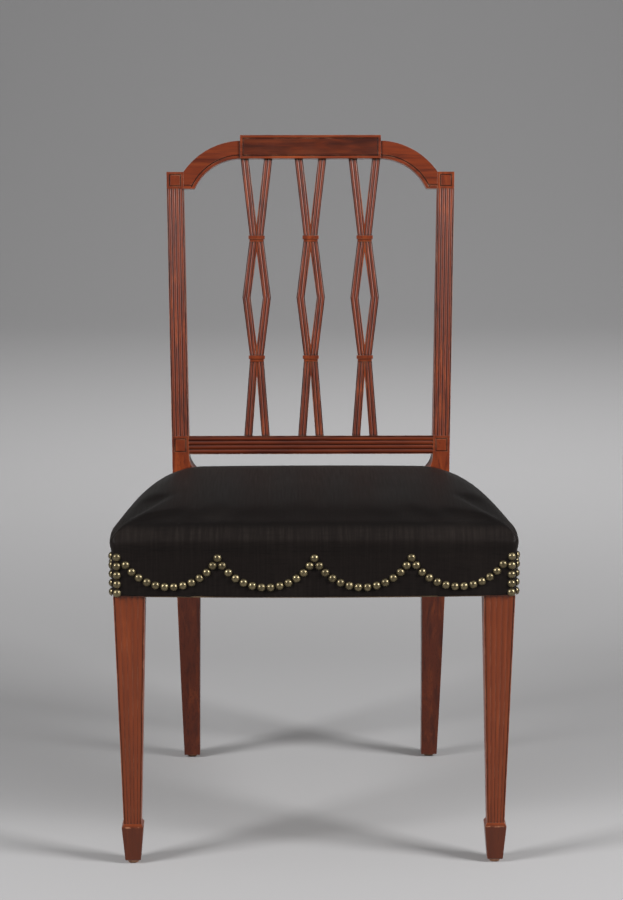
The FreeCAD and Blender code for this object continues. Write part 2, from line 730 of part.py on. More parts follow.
# Splats: each one board, pierced into crossing strips with two carved collars
def splat_gaps(name, x, depth):
    """Cutters for the openings between a splat's strips."""
    past = eased(depth, "saw_past")

    def fork(end, width, mouth, beyond, crotch):
        half = f"({width} / 2 - splat_strip)"
        return board(f"{name}_{end}_gap", "XZ", [
            (f"{x} - {half}", up_slope(mouth)), (f"{x} - {half}", f"{up_slope(mouth)} + {beyond}"),
            (f"{x} + {half}", f"{up_slope(mouth)} + {beyond}"), (f"{x} + {half}", up_slope(mouth)),
            (x, up_slope(crotch))], *past, set_leaning)
    half = "(splat_waist_width / 2 - splat_strip)"
    lozenge = board(f"{name}_lozenge", "XZ", [
        (f"{x} - {half}", up_slope(SPLAT_WAIST)), (x, up_slope(f"{UPPER_NECK} - lozenge_top_drop")),
        (f"{x} + {half}", up_slope(SPLAT_WAIST)), (x, up_slope(f"{LOWER_NECK} + lozenge_bottom_rise"))],
        *past, set_leaning)
    return [fork("upper", "splat_top_width", f"{TABLET_BOTTOM} - glue_gap", "saw_past",
                 f"{UPPER_NECK} + upper_crotch_rise"),
            fork("lower", "splat_bottom_width", f"{STAY_TOP} + glue_gap", "-saw_past",
                 f"{LOWER_NECK} - lower_crotch_drop"), lozenge]


def run_out(end, inner, beyond):
    """The end of a strip's reeds carried straight on, past the board."""
    share = f"({beyond} / ({end[2]} - ({inner[2]})))"
    off, reeded = [f"({a} + ({a} - {b}) * {share})" for a, b in zip(end[:2], inner[:2])]
    return off, reeded, f"{end[2]} + {beyond}"


def splat_reeds(name, x, levels):
    """Cutters that leave two reeds on the front of each strip, run out past both of its ends."""
    cuts = []
    for hand, side in (("left", -1), ("right", 1)):
        spine = []
        for width, height in reversed(levels):
            strip = "(splat_neck_width / 2)" if width == "splat_neck_width" else "splat_strip"
            reeded = f"({strip} - 2 * splat_reed_margin)"
            spine.append((f"({side} * ({width} - {strip}) / 2)", reeded, height))
        spine[0] = run_out(spine[0], spine[1], "-saw_past")
        spine[-1] = run_out(spine[-1], spine[-2], "saw_past")
        sections = [(reed_section(STRIP_REEDS, f"{x} + {off}", reeded, "splat_setback", "splat_reed_proud"),
                     up_slope(height)) for off, reeded, height in spine]
        cuts.append(taper(f"{name}_{hand}_reeds", sections, set_leaning))
    return cuts


def collars(name, x, depth):
    """Carved rings round the necks, each on a thin fillet."""
    rings = []
    for place, neck in (("upper", UPPER_NECK), ("lower", LOWER_NECK)):
        low = f"{up_slope(neck)} - collar_height / 2"
        high = f"{up_slope(neck)} + collar_height / 2"
        shapes = (("ring", "collar_width", "collar_proud", (low, high)),
                  ("fillet", "fillet_width", "fillet_proud", (f"{low} - fillet_height", low)))
        for kind, width, proud, up in shapes:
            rings.append(block(f"{name}_{place}_{kind}", middle_of(x, x, width), eased(depth, proud), up,
                               set_leaning))
    return rings


def splat_tenons(name, x, depth):
    """Two tenons at each end; their mortises are for the crest rail and the stay rail."""
    tenons = []
    top, bottom = up_slope(TABLET_BOTTOM), up_slope(STAY_TOP)
    ends = (("splat_top_width", (f"{top} - tenon_root", f"{top} + splat_tenon"), splat_head_mortises),
            ("splat_bottom_width", (f"{bottom} - splat_tenon", f"{bottom} + tenon_root"),
             splat_foot_mortises))
    for width, up, mortises in ends:
        for side in (-1, 1):
            centre = f"({x} + {side} * ({width} - splat_strip) / 2)"
            tenon, mortise = tenon_and_mortise(
                f"{name}_end", middle_of(centre, centre, "splat_tenon_width"),
                middle_of(*depth, "splat_tenon_thickness"), up, set_leaning)
            tenons.append(tenon)
            mortises.append(mortise)
    return tenons


def splat(name, x):
    levels = [("splat_top_width", f"{TABLET_BOTTOM} - glue_gap"), ("splat_neck_width", UPPER_NECK),
              ("splat_waist_width", SPLAT_WAIST), ("splat_neck_width", LOWER_NECK),
              ("splat_bottom_width", f"{STAY_TOP} + glue_gap")]
    right = [(f"{x} + {width} / 2", up_slope(height)) for width, height in levels]
    left = [(f"{x} - {width} / 2", up_slope(height)) for width, height in reversed(levels)]
    depth = ("splat_setback", "splat_setback + splat_depth")
    blank = board(f"{name}_blank", "XZ", right + left, *depth, set_leaning)
    pierced = joined("Part::Cut", f"{name}_pierced", blank, splat_gaps(name, x, depth))
    reeded = joined("Part::Cut", f"{name}_reeded", pierced, splat_reeds(name, x, levels))
    added = collars(name, x, depth) + splat_tenons(name, x, depth)
    return joined("Part::Fuse", f"{name}_whole", reeded, added)


splat_head_mortises = []
splat_foot_mortises = []
centre_splat = splat("centre_splat", "0")
hand_in("splat_centre", centre_splat)
drawn_mortises = [(cuts, tuple(cuts)) for cuts in (splat_head_mortises, splat_foot_mortises)]
for hand, halfway in (("left", "-splat_pitch / 2"), ("right", "splat_pitch / 2")):
    hand_in(f"splat_{hand}", mirrored(f"{hand}_splat", centre_splat, halfway))
    for cuts, drawn in drawn_mortises:
        cuts += [mirrored(f"{cut.Name}_{hand}", cut, halfway) for cut in drawn]


# Stay rail, reeded along its front
def swapped(corners):
    """The same outline with its two directions exchanged."""
    return [(c[1], c[0]) if len(c) == 2 else (c[1], c[0], c[2], -c[3]) for c in corners]


def stay_rail():
    low, high = up_slope(STAY_BOTTOM), up_slope(STAY_TOP)
    half_low = f"({post_inner(STAY_BOTTOM)} - glue_gap)"
    half_high = f"({post_inner(STAY_TOP)} - glue_gap)"
    plain = board("stay_board", "XZ", [
        (f"-{half_low}", low), (half_low, low), (half_high, high), (f"-{half_high}", high)],
        "0", "stay_depth", set_leaning)
    reeded = f"{high} - {low} - 2 * post_reed_margin"
    section = reed_section(STAY_REEDS, f"({low} + {high}) / 2", reeded, "0", "post_reed_proud")
    reeds = board("stay_reeds", "YZ", swapped(section), "-rear_top_half", "rear_top_half", set_leaning)
    tenons = [stay_tenon, mirrored("stay_tenon_other", stay_tenon)]
    whole = joined("Part::Fuse", "stay_whole", plain, tenons)
    hand_in("stay_rail", joined("Part::Cut", "stay_rail", whole, [reeds] + splat_foot_mortises))


stay_rail()


# Crest rail: arched shoulders either side of a raised tablet with a sunk veneer
def circle_centre(start, finish, radius, side):
    """Centre of the arc that an outline's edge follows, as a pair of expressions."""
    run, rise = f"(({finish[0]}) - ({start[0]}))", f"(({finish[1]}) - ({start[1]}))"
    chord = f"sqrt({run} ^ 2 + {rise} ^ 2)"
    back_off = f"({side} * sqrt({radius} ^ 2 - {chord} ^ 2 / 4) / {chord})"
    return (f"((({start[0]}) + ({finish[0]})) / 2 + {rise} * {back_off})",
            f"((({start[1]}) + ({finish[1]})) / 2 - {run} * {back_off})")


def spread(point, centre, ratio):
    """Point moved away from a centre by a ratio."""
    return tuple(f"({c} + (({p}) - {c}) * {ratio})" for p, c in zip(point, centre))


def other_side(point):
    """The same point on the left half."""
    return (f"-({point[0]})", point[1])


def crest_rail():
    half = "(splat_pitch + splat_top_width / 2 + tablet_overhang)"
    foot, base, top = up_slope(BLOCK_BOTTOM), up_slope(TABLET_BOTTOM), up_slope(TABLET_TOP)
    end_low = (f"{post_inner(BLOCK_BOTTOM)} - glue_gap", foot)
    end_high = (f"{post_inner(POST_TOP)} - glue_gap", up_slope(POST_TOP))
    arch_foot = (f"({post_inner(BLOCK_BOTTOM)} - arch_foot_return)", foot)
    arch_head = (half, base)
    crown = (half, up_slope(f"{TABLET_TOP} - shoulder_drop"))
    lower, upper = ("arch_lower_radius", 1), ("arch_upper_radius", -1)
    plain = board("crest_board", "XZ", [
        other_side(arch_head), arch_head + lower, arch_foot, end_low, end_high + upper, crown, (half, top),
        (f"-{half}", top), other_side(crown) + upper, other_side(end_high), other_side(end_low),
        other_side(arch_foot) + lower], "0", "crest_depth", set_leaning)
    tablet = block("crest_tablet", (f"-{half}", half), ("-tablet_proud", "crest_depth / 2"), (base, top),
                   set_leaning)
    panel_x = (f"-({half} - tablet_bead)", f"{half} - tablet_bead")
    panel_z = (f"{base} + tablet_bead", f"{top} - tablet_bead")
    sunk = "veneer_recess - tablet_proud"
    recess = block("tablet_recess", panel_x, ("-tablet_proud - saw_past", sunk), panel_z, set_leaning)
    # A quirk follows the arch above its bead and runs on level to the post
    centre = circle_centre(arch_head, arch_foot, *lower)
    near, far = "(arch_lower_radius + arch_bead)", "(arch_lower_radius + arch_bead + arch_quirk)"
    near_ratio, far_ratio = f"({near} / arch_lower_radius)", f"({far} / arch_lower_radius)"
    quirk = board("arch_quirk_cut", "XZ", [
        spread(arch_head, centre, near_ratio) + (near, 1), spread(arch_foot, centre, near_ratio),
        spread(arch_foot, centre, far_ratio) + (far, -1), spread(arch_head, centre, far_ratio)],
        "-saw_past", "panel_depth", set_leaning)
    foot_quirk = block("arch_foot_quirk", (f"{arch_foot[0]} + arch_bead", end_low[0]),
                       ("-saw_past", "panel_depth"),
                       (f"{foot} + arch_bead", f"{foot} + arch_bead + arch_quirk"), set_leaning)
    whole = joined("Part::Fuse", "crest_whole", plain,
                   [tablet, crest_tenon, mirrored("crest_tenon_other", crest_tenon)])
    cuts = [recess, quirk, mirrored("arch_quirk_other", quirk),
            foot_quirk, mirrored("foot_quirk_other", foot_quirk)]
    hand_in("crest_rail", joined("Part::Cut", "crest_rail", whole, cuts + splat_head_mortises))
    veneer = block("tablet_veneer", eased(panel_x, "-veneer_margin"), (f"{sunk} - veneer_thickness", sunk),
                   eased(panel_z, "-veneer_margin"), set_leaning)
    hand_in("tablet_veneer", veneer)


crest_rail()


# Upholstery: straps over the rails, sacking, stuffing and the cover
REAR_RAIL_BACK = f"({REAR_RAIL_FRONT} + rear_rail_thickness)"
COVER_BACK = f"({REAR_RAIL_BACK} + cover_gap + cover_wall)"
STRAPS_TOP = f"({RAIL_TOP} + 2 * strap_thickness)"
SACKING_BOTTOM = f"({STRAPS_TOP} + cover_gap)"
SACKING_TOP = f"({SACKING_BOTTOM} + sacking_thickness)"


def seat_plan(inset, rounding="0"):
    """Outline of the seat seen from above, drawn in from the cover's outer face."""
    out = f"(cover_gap + cover_wall - ({inset}))"
    ease = f"(corner_ease + {rounding})"
    radius = f"({BOW_RADIUS} + {out})"
    bow_start = f"(front_half + {out} - {ease})"
    bow_y = f"({BOW_RADIUS} - front_bow - sqrt({radius} ^ 2 - {bow_start} ^ 2))"
    side = f"(front_half + {out})"
    ease_end = f"({ease} - {out})"
    turn = "leg_top_width"
    rear = f"({COVER_BACK} - ({inset}))"
    rear_half = f"({side_outer(rear)} + {out})"
    corner = (f"{ease} * {CORNER_FLATTENING}", -1)
    return [(f"-{bow_start}", bow_y, radius, -1), (bow_start, bow_y) + corner, (side, ease_end),
            (side, turn), (rear_half, rear), (f"-{rear_half}", rear), (f"-{side}", turn),
            (f"-{side}", ease_end) + corner]


def post_notches(name, clear):
    """Cutters that let the leaning posts through the seat."""
    front, back = f"(back_front - {clear})", f"({COVER_BACK} + saw_past)"
    low, high = "(rail_bottom - saw_past)", f"({CROWN} + saw_past)"
    right = board(name, "YZ", [
        (front, low), (front, RAIL_TOP), (f"{front} + ({high} - {RAIL_TOP}) * {TAN}", high),
        (back, high), (back, low)], f"{REAR_INNER} - {clear}", "front_half + saw_past")
    return [right, mirrored(f"{name}_other", right)]


def seat_form(name, inset, bottom):
    """Crowned seat with a rolled edge, drawn in from the cover's outer face."""
    roll = f"(seat_roll - {inset})"
    sections = [(seat_plan(inset), bottom), (seat_plan(inset), EDGE)]
    for turn in ROLL_TURNS:
        rolled_in = f"({roll} * (1 - cos({turn} deg)))"
        sections.append((seat_plan(f"({inset} + {rolled_in})", rolled_in),
                         f"{EDGE} + {roll} * sin({turn} deg)"))
    over_crown = f"max({CROWN} - {inset}; {EDGE} + {roll}) + crown_spare"
    sections.append((seat_plan(f"({inset} + crown_reach)", "crown_reach"), over_crown))
    sides = taper(f"{name}_sides", sections)
    dome = doc.addObject("Part::Sphere", f"{name}_dome")
    bind(dome, "Radius", f"crown_radius - {inset}")
    # The ball's seam lies at its side, away from the seat
    dome.Placement.Rotation = FreeCAD.Rotation(FreeCAD.Vector(0, 1, 0), 90)
    bind(dome, "Placement.Base.y", f"crown_centre - {MIDDLE}")
    bind(dome, "Placement.Base.z", f"{CROWN} - crown_radius")
    return joined("Part::Common", f"{name}_crowned", sides, [dome])


def webbing():
    """Two layers of straps over the rails."""
    long_span = (f"strap_margin - {RAIL_STEP}", f"{REAR_RAIL_BACK} - strap_margin")
    middle = f"((rail_thickness + {REAR_RAIL_FRONT}) / 2)"
    low, high = (RAIL_TOP, f"{RAIL_TOP} + strap_thickness"), (f"{RAIL_TOP} + strap_thickness", STRAPS_TOP)
    for place, step in (("left", -1), ("middle", 0), ("right", 1)):
        centre = f"({step} * long_strap_pitch)"
        across = middle_of(centre, centre, "strap_width")
        hand_in(f"webbing_long_{place}", block(f"long_{place}", across, long_span, low))
    for place, step in (("front", -1), ("middle", 0), ("rear", 1)):
        centre = f"({middle} + {step} * cross_strap_pitch)"
        half = f"({side_outer(f'{centre} + strap_width / 2')} - strap_margin)"
        along = middle_of(centre, centre, "strap_width")
        hand_in(f"webbing_cross_{place}", block(f"cross_{place}", (f"-{half}", half), along, high))


def upholstery():
    inner = "(cover_wall + cover_gap)"
    notches = post_notches("post_notch_cut", "post_notch")
    sheet_blank = board("sacking_blank", "XY", seat_plan(inner), SACKING_BOTTOM, SACKING_TOP)
    hand_in("sacking", joined("Part::Cut", "sacking", sheet_blank, notches))
    stuffing_blank = seat_form("stuffing", inner, f"{SACKING_TOP} + cover_gap")
    hand_in("seat_stuffing", joined("Part::Cut", "seat_stuffing", stuffing_blank, notches))
    outside = seat_form("cover_outer", "0", "rail_bottom")
    inside = seat_form("cover_inner", "cover_wall", "rail_bottom - saw_past")
    cuts = [inside, front_holes, side_holes, left_holes] + notches
    hand_in("seat_cover", joined("Part::Cut", "seat_cover", outside, cuts))


webbing()
upholstery()
doc.recompute()

failed = [item.Name for item in doc.Objects if "Invalid" in item.State or "Error" in item.State]
failed += [node for node, item in subparts.items() if item.Shape.isNull() or not item.Shape.isValid()]
if failed:
    raise RuntimeError("not built: " + ", ".join(failed))
os.makedirs("parts", exist_ok=True)
for node, item in subparts.items():
    item.Shape.exportStep(f"parts/{node}.step")
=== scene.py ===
import math

import bmesh
import bpy
from bpy.props import FloatProperty, FloatVectorProperty, IntProperty, PointerProperty
from bpy.types import Operator, Panel, PropertyGroup
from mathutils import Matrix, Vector


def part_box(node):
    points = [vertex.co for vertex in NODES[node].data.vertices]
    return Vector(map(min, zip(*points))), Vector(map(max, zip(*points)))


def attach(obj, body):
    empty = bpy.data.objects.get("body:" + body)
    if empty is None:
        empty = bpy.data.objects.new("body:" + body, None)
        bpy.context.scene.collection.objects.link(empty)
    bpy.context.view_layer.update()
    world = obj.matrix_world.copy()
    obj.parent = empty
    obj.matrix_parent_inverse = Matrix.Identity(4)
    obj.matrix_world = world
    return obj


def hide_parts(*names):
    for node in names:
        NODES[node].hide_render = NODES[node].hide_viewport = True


bl_info = {
    "name": "Splat Back Side Chair",
    "version": (1, 0, 0),
    "blender": (4, 5, 0),
    "location": "View3D > Sidebar > Chair",
    "description": "Dresses a mahogany side chair with a horsehair seat and brass nails",
    "category": "Object",
}

# Frame: +Z up, +Y to the back, metres, origin on the floor under the middle of the chair
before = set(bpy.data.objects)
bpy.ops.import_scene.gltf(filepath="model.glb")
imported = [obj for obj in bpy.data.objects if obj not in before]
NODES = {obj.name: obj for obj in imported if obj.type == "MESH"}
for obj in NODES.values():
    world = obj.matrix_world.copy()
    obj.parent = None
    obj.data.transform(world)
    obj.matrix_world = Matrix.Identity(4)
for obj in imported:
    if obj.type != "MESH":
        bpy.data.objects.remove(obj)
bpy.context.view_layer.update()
COVER_LOW, COVER_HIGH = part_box("seat_cover")
LEG_LOW, LEG_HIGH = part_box("front_leg_right")
RAIL_LOW, RAIL_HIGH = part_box("front_rail")
POST_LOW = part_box("rear_post_right")[0]
MM = 0.001

# Wood: how far its patterns are drawn out along the grain, the edges of its darker feet, and the fade of the
# painted shade on the rear posts below the seat
GRAIN_SHARE = 0.06
PORE_SHARE = 0.02
FOOT_FADE = 4 * MM
RIM_HALF = 0.7 * MM
RIM_FADE = 0.6 * MM
DUSTY_ROUGHNESS = 0.8

# Height of the relief in each finish
PORE_DEPTH = 0.12 * MM
SAW_DEPTH = 0.3 * MM
RIB_DEPTH = 0.4 * MM
YARN_DEPTH = 0.6 * MM
CURL_DEPTH = 2 * MM
HAIR_DEPTH = 0.25 * MM
HAMMER_DEPTH = 0.5 * MM
SCRATCH_DEPTH = 0.1 * MM

# Webbing: zigzags across a strap, ribs in a length equal to its width, and its coloured line
ZIGZAGS = 8
RIBS = 14
LINE_PLACE = 0.36
LINE_HALF = 0.02
LINE_FADE = 0.01
LONG_STRAPS = ("long_left", "long_middle", "long_right")
CROSS_STRAPS = ("cross_front", "cross_middle", "cross_rear")
STRAP_COLUMNS = 6
STRAP_EASE = 22 * MM
SHEET_FIT = 0.92

# Sacking
SACKING_FACES = 48
SACKING_MARGIN = 10 * MM
SACKING_SAG = 1.5 * MM
SAG_SPREAD = 8

# Seat: its plan, the roll of its edge, its swell and the notches round the posts
COVER_GAP = 1.8 * MM
REAR_HALF = 194.2 * MM
BOW_STEPS = 12
CORNER_STEPS = 6
WALL_SHARE = 0.6
ROLL_END = 0.98
BULGE_DROP = 4 * MM
BULGE_FADE = 60 * MM
FACING_DOWN = -0.7
SWELL_FRAMES = 20
SWELL_STIFFNESS = 12.0
STUFFING_GAP = 0.4 * MM
NOTCH = 0.8 * MM
NOTCH_REACH = 20 * MM
BACK_RAKE = math.radians(9.9)
CUT_LIMIT = 0.001 * MM

# Stage
STAGE_HALF = 20.0
STAGE_FRONT = -20.0
STAGE_BACK = 8.0
STAGE_HEIGHT = 4.5
STAGE_COVE = 3.6
COVE_STEPS = 24
SIDE_BOX = (0.9, 1.1)
SIDE_AIM = (0, 0, 0.5)
LEFT_PLACE = (-2.4, -1.5, 2.0)
RIGHT_PLACE = (2.4, -1.3, 2.0)
TOP_BOX = (2.2, 1.6)
TOP_AIM = (0, 0, 0.4)
TOP_PLACE = (0.1, -0.6, 3.0)
BACK_BOX = (3.0, 1.4)
BACK_AIM = (0.4, 7.2, 0.8)
BACK_PLACE = (0.4, 1.6, 2.6)
SKY = (0.9, 0.9, 0.9, 1.0)
SENSOR = 36.0


def colour(name, description, rgb):
    """Colour setting, given as it shows on a screen."""
    linear = tuple(c / 12.92 if c <= 0.04045 else ((c + 0.055) / 1.055) ** 2.4 for c in rgb)
    return FloatVectorProperty(name=name, description=description, subtype="COLOR", size=3, min=0, max=1,
                               default=linear)


def length(name, description, millimetres):
    """Length setting, given in millimetres."""
    return FloatProperty(name=name, description=description, unit="LENGTH", subtype="DISTANCE",
                         default=millimetres * MM, precision=5)


class ChairWood(PropertyGroup):
    """Colours, wear, painted shade and painted edge highlights of the polished wood."""
    light: colour("Light wood", "Between the pores", (0.60, 0.28, 0.12))
    middle: colour("Wood", "Most of the back", (0.425, 0.168, 0.065))
    dark: colour("Dark wood", "Pores and stripes", (0.27, 0.092, 0.04))
    # The worn colour is also a painted highlight along the rubbed edges.
    worn: colour("Worn edge", "Where polish is rubbed off the edges", (0.70, 0.48, 0.36))
    orange: colour("Warm tone", "Warmer tone of the front legs", (0.49, 0.215, 0.06))
    # The shade colour also paints the shade in grooves and corners, and on the rear posts below the seat.
    shade: colour("Old wax and painted shade", "Dark wax and painted shade in grooves, corners and below the seat", (0.13, 0.045, 0.03))
    edge_round: length("Edge rounding", "Softness of the sawn edges", 0.7)
    groove: length("Groove depth", "How far the old wax and painted shade reach out of a corner", 4.0)
    spade: length("Spade foot", "Height of the darker feet", 55.5)
    wear: length("Wear", "How far the rubbed polish reaches in from an edge", 1.3)
    coat: FloatProperty(name="Polish", description="Strength of the shellac coat", default=0.22, min=0, max=1)


class ChairSeat(PropertyGroup):
    """Shape and cloth of the seat."""
    cloth: colour("Horsehair", "The cover's own colour", (0.098, 0.082, 0.077))
    # Colour of the painted sheen on the rolled edge, and of the dust on the cover.
    cloth_sheen_and_dust: colour("Horsehair sheen", "Light off the lying hairs", (0.22, 0.195, 0.18))
    # Colour between the hairs, and of the painted shade on the seat's top.
    deep_hair_and_top_shade: colour("Deep horsehair", "Between the hairs", (0.051, 0.045, 0.045))
    voxel: length("Cloth mesh", "Size of the cover's faces before smoothing", 6.0)
    roll: length("Edge roll", "Radius of the rolled edge", 24.0)
    bulge: length("Edge bulge", "How far the stuffed edge stands over the rails", 2.5)
    edge_rise: length("Edge rise", "Height of the straight sides above the rails", 15.0)
    corner: length("Corner radius", "Plan radius of the front corners", 6.0)
    crown_along: length("Crown along", "Radius of the crowned top from front to back", 1290.0)
    crown_across: length("Crown across", "Radius of the crowned top from side to side", 9500.0)
    crown_back: length("Crown place", "Distance of the crown behind the front legs' face", 170.0)
    cloth_thickness: length("Cloth thickness", "Thickness of the cover", 1.2)
    swell: FloatProperty(name="Swell", description="Air pressure that fills the seat", default=4.0)
    swell_cap: length("Swell limit", "How far the cover may swell", 3.0)
    strap_rows: IntProperty(name="Strap rows", description="Faces along a webbing strap", default=96)


class ChairInside(PropertyGroup):
    """Colours of the seat's frame and filling."""
    ash_dark: colour("Dark ash", "Grain of the sawn rails", (0.349, 0.26, 0.176))
    ash_light: colour("Light ash", "Between the grain", (0.584, 0.473, 0.349))
    ash_dirt: colour("Rail dirt", "Stains on the rails", (0.248, 0.19, 0.143))
    edge_round: length("Rail edges", "Softness of the rails' edges", 0.6)
    linen_dark: colour("Dark linen", "Between the ribs of the webbing", (0.547, 0.473, 0.357))
    linen_light: colour("Light linen", "On the ribs of the webbing", (0.708, 0.642, 0.517))
    linen_dirt: colour("Webbing dirt", "Stains on the webbing", (0.396, 0.332, 0.248))
    stripe: colour("Stripe", "Lines in the webbing and stains on the sacking", (0.349, 0.283, 0.206))
    jute_dark: colour("Dark jute", "Between the yarns", (0.332, 0.26, 0.172))
    jute_light: colour("Light jute", "On the yarns", (0.634, 0.547, 0.41))
    hair_dark: colour("Dark stuffing", "Between the curls", (0.152, 0.118, 0.1))
    hair_light: colour("Light stuffing", "On the curls", (0.366, 0.304, 0.248))


class ChairMetal(PropertyGroup):
    """Colours of the nails and glides."""
    brass: colour("Brass", "Aged brass of the nail heads", (0.50, 0.455, 0.345))
    tarnish: colour("Tarnish", "Darker colour round the heads and in spots", (0.225, 0.195, 0.145))
    steel: colour("Steel", "Worn and browned foot glides", (0.68, 0.50, 0.39))
    rust: colour("Rust", "Spots on the glides", (0.437, 0.304, 0.221))


class ChairStage(PropertyGroup):
    """Camera, floor and lights."""
    camera_place: FloatVectorProperty(name="Camera", description="Where the camera stands", unit="LENGTH",
                                      default=(-0.0396, -3.5596, 1.23625))
    camera_turn: FloatProperty(name="Turn", description="Camera's turn to the right", unit="ROTATION",
                               default=math.radians(0.62))
    camera_tilt: FloatProperty(name="Tilt", description="Camera's tilt below level", unit="ROTATION",
                               default=math.radians(11.49))
    lens: FloatProperty(name="Lens", description="Focal length in millimetres", default=105.44)
    floor: colour("Floor", "Plain studio floor", (0.67, 0.667, 0.67))
    left_power: FloatProperty(name="Left light", description="Power of the left soft box", default=88.0)
    right_power: FloatProperty(name="Right light", description="Power of the right soft box", default=108.0)
    top_power: FloatProperty(name="Top light", description="Power of the overhead soft box", default=10.0)
    back_power: FloatProperty(name="Back light", description="Power of the backdrop light", default=110.0)
    ambient: FloatProperty(name="Ambient", description="Strength of the even light", default=0.13)


def settings(group):
    """The scene's values of one group."""
    return getattr(bpy.context.scene, f"chair_{group}")


class Finish:
    """A procedural material and the few node steps that the finishes share."""

    def __init__(self, name):
        self.material = bpy.data.materials.new(name)
        self.material.use_nodes = True
        self.tree = self.material.node_tree
        self.shader = self.tree.nodes["Principled BSDF"]
        self.place = self.tree.nodes.new("ShaderNodeTexCoord").outputs["Object"]

    def add(self, kind, inputs, **options):
        """New node with its options set and its inputs linked or filled in."""
        item = self.tree.nodes.new(f"ShaderNode{kind}")
        for option, setting in options.items():
            setattr(item, option, setting)
        for socket, given in inputs.items():
            if isinstance(given, bpy.types.NodeSocket):
                self.tree.links.new(given, item.inputs[socket])
            else:
                item.inputs[socket].default_value = given
        return item

    def scaled(self, vector, scale):
        """Coordinates scaled per axis."""
        return self.add("Mapping", {"Vector": vector, "Scale": scale}).outputs[0]

    def stretched(self, scale):
        """Object coordinates scaled per axis."""
        return self.scaled(self.place, scale)

    def noise(self, vector, scale, detail=4.0, roughness=0.55, distortion=0.0):
        """Cloudy pattern from 0 to 1."""
        made = self.add("TexNoise", {"Vector": vector, "Scale": scale, "Detail": detail,
                                     "Roughness": roughness, "Distortion": distortion})
        return made.outputs["Fac"]

    def wave(self, vector, scale, direction, distortion):
        """Even bands from 0 to 1."""
        made = self.add("TexWave", {"Vector": vector, "Scale": scale, "Distortion": distortion,
                                    "Detail": 2.0, "Detail Scale": 1.0},
                        bands_direction=direction)
        return made.outputs["Fac"]

    def ramp(self, factor, low, high):
        """Factor eased between two limits to run from 0 to 1."""
        made = self.add("MapRange", {"Value": factor, "From Min": low, "From Max": high},
                        interpolation_type="SMOOTHSTEP")
        return made.outputs[0]

    def between(self, factor, low, high):
        """Number that runs from low to high with a factor."""
        return self.add("MapRange", {"Value": factor, "To Min": low, "To Max": high}).outputs[0]

    def mix(self, factor, first, second):
        """Two colours or patterns, blended by a factor."""
        made = self.add("Mix", {"Factor": factor}, data_type="RGBA")
        for socket, given in ((made.inputs[6], first), (made.inputs[7], second)):
            if isinstance(given, bpy.types.NodeSocket):
                self.tree.links.new(given, socket)
            else:
                socket.default_value = (*given, 1.0)
        return made.outputs[2]

    def stain(self, base, tint, mask, amount):
        """Base with a share of another colour where the mask is 1."""
        return self.mix(self.maths("MULTIPLY", mask, amount), base, tint)

    def base(self):
        """The base colour as it stands."""
        return self.shader.inputs["Base Color"].links[0].from_socket

    def maths(self, kind, first, second=0.0):
        """One sum of two numbers."""
        return self.add("Math", {0: first, 1: second}, operation=kind).outputs[0]

    def axis(self, name):
        """One of the object coordinates."""
        return self.add("SeparateXYZ", {"Vector": self.place}).outputs[name]

    def facing(self, name):
        """How far the surface faces along an axis."""
        normal = self.add("NewGeometry", {}).outputs["Normal"]
        return self.add("SeparateXYZ", {"Vector": normal}).outputs[name]

    def band(self, value, centre, half, soft):
        """1 within half of a centre, fading to 0."""
        off = self.maths("ABSOLUTE", self.maths("SUBTRACT", value, centre))
        return self.maths("SUBTRACT", 1.0, self.ramp(off, half, half + soft))

    def rounded(self, radius):
        """Normal that turns softly over an edge, and a mask of the edges themselves."""
        soft = self.add("Bevel", {"Radius": radius}, samples=6).outputs[0]
        plain = self.add("NewGeometry", {}).outputs["Normal"]
        same = self.add("VectorMath", {0: soft, 1: plain}, operation="DOT_PRODUCT").outputs["Value"]
        return soft, self.ramp(same, 0.995, 0.90)

    def cavity(self, reach):
        """Mask of grooves and inner corners."""
        open_part = self.add("AmbientOcclusion", {"Distance": reach}, samples=8).outputs["AO"]
        return self.ramp(open_part, 0.95, 0.5)

    def bump(self, height, distance, strength=1.0, normal=None):
        """Normal with fine relief on it."""
        inputs = {"Height": height, "Distance": distance, "Strength": strength}
        if normal is not None:
            inputs["Normal"] = normal
        return self.add("Bump", inputs).outputs[0]

    def set(self, **inputs):
        """Link or fill in the shader's own sockets."""
        for name, given in inputs.items():
            socket = self.shader.inputs[name.replace("_", " ")]
            if isinstance(given, bpy.types.NodeSocket):
                self.tree.links.new(given, socket)
            else:
                socket.default_value = given


def paint(material, *names):
    """Give CAD nodes a finish."""
    for name in names:
        node = NODES[name]
        node.data.materials.clear()
        node.data.materials.append(material)
        for polygon in node.data.polygons:
            polygon.material_index = 0


def both(name):
    """The left and right nodes of a pair."""
    return (f"{name}_left", f"{name}_right")


def finish_of(name, maker, *given, **more):
    """The named material, made the first time it is asked for."""
    if name in bpy.data.materials:
        return bpy.data.materials[name]
    return maker(name, *given, **more).material


def drawn_out(grain, share):
    """Scale that draws a pattern out along the grain."""
    return tuple(share if axis == grain else 1.0 for axis in "XYZ")


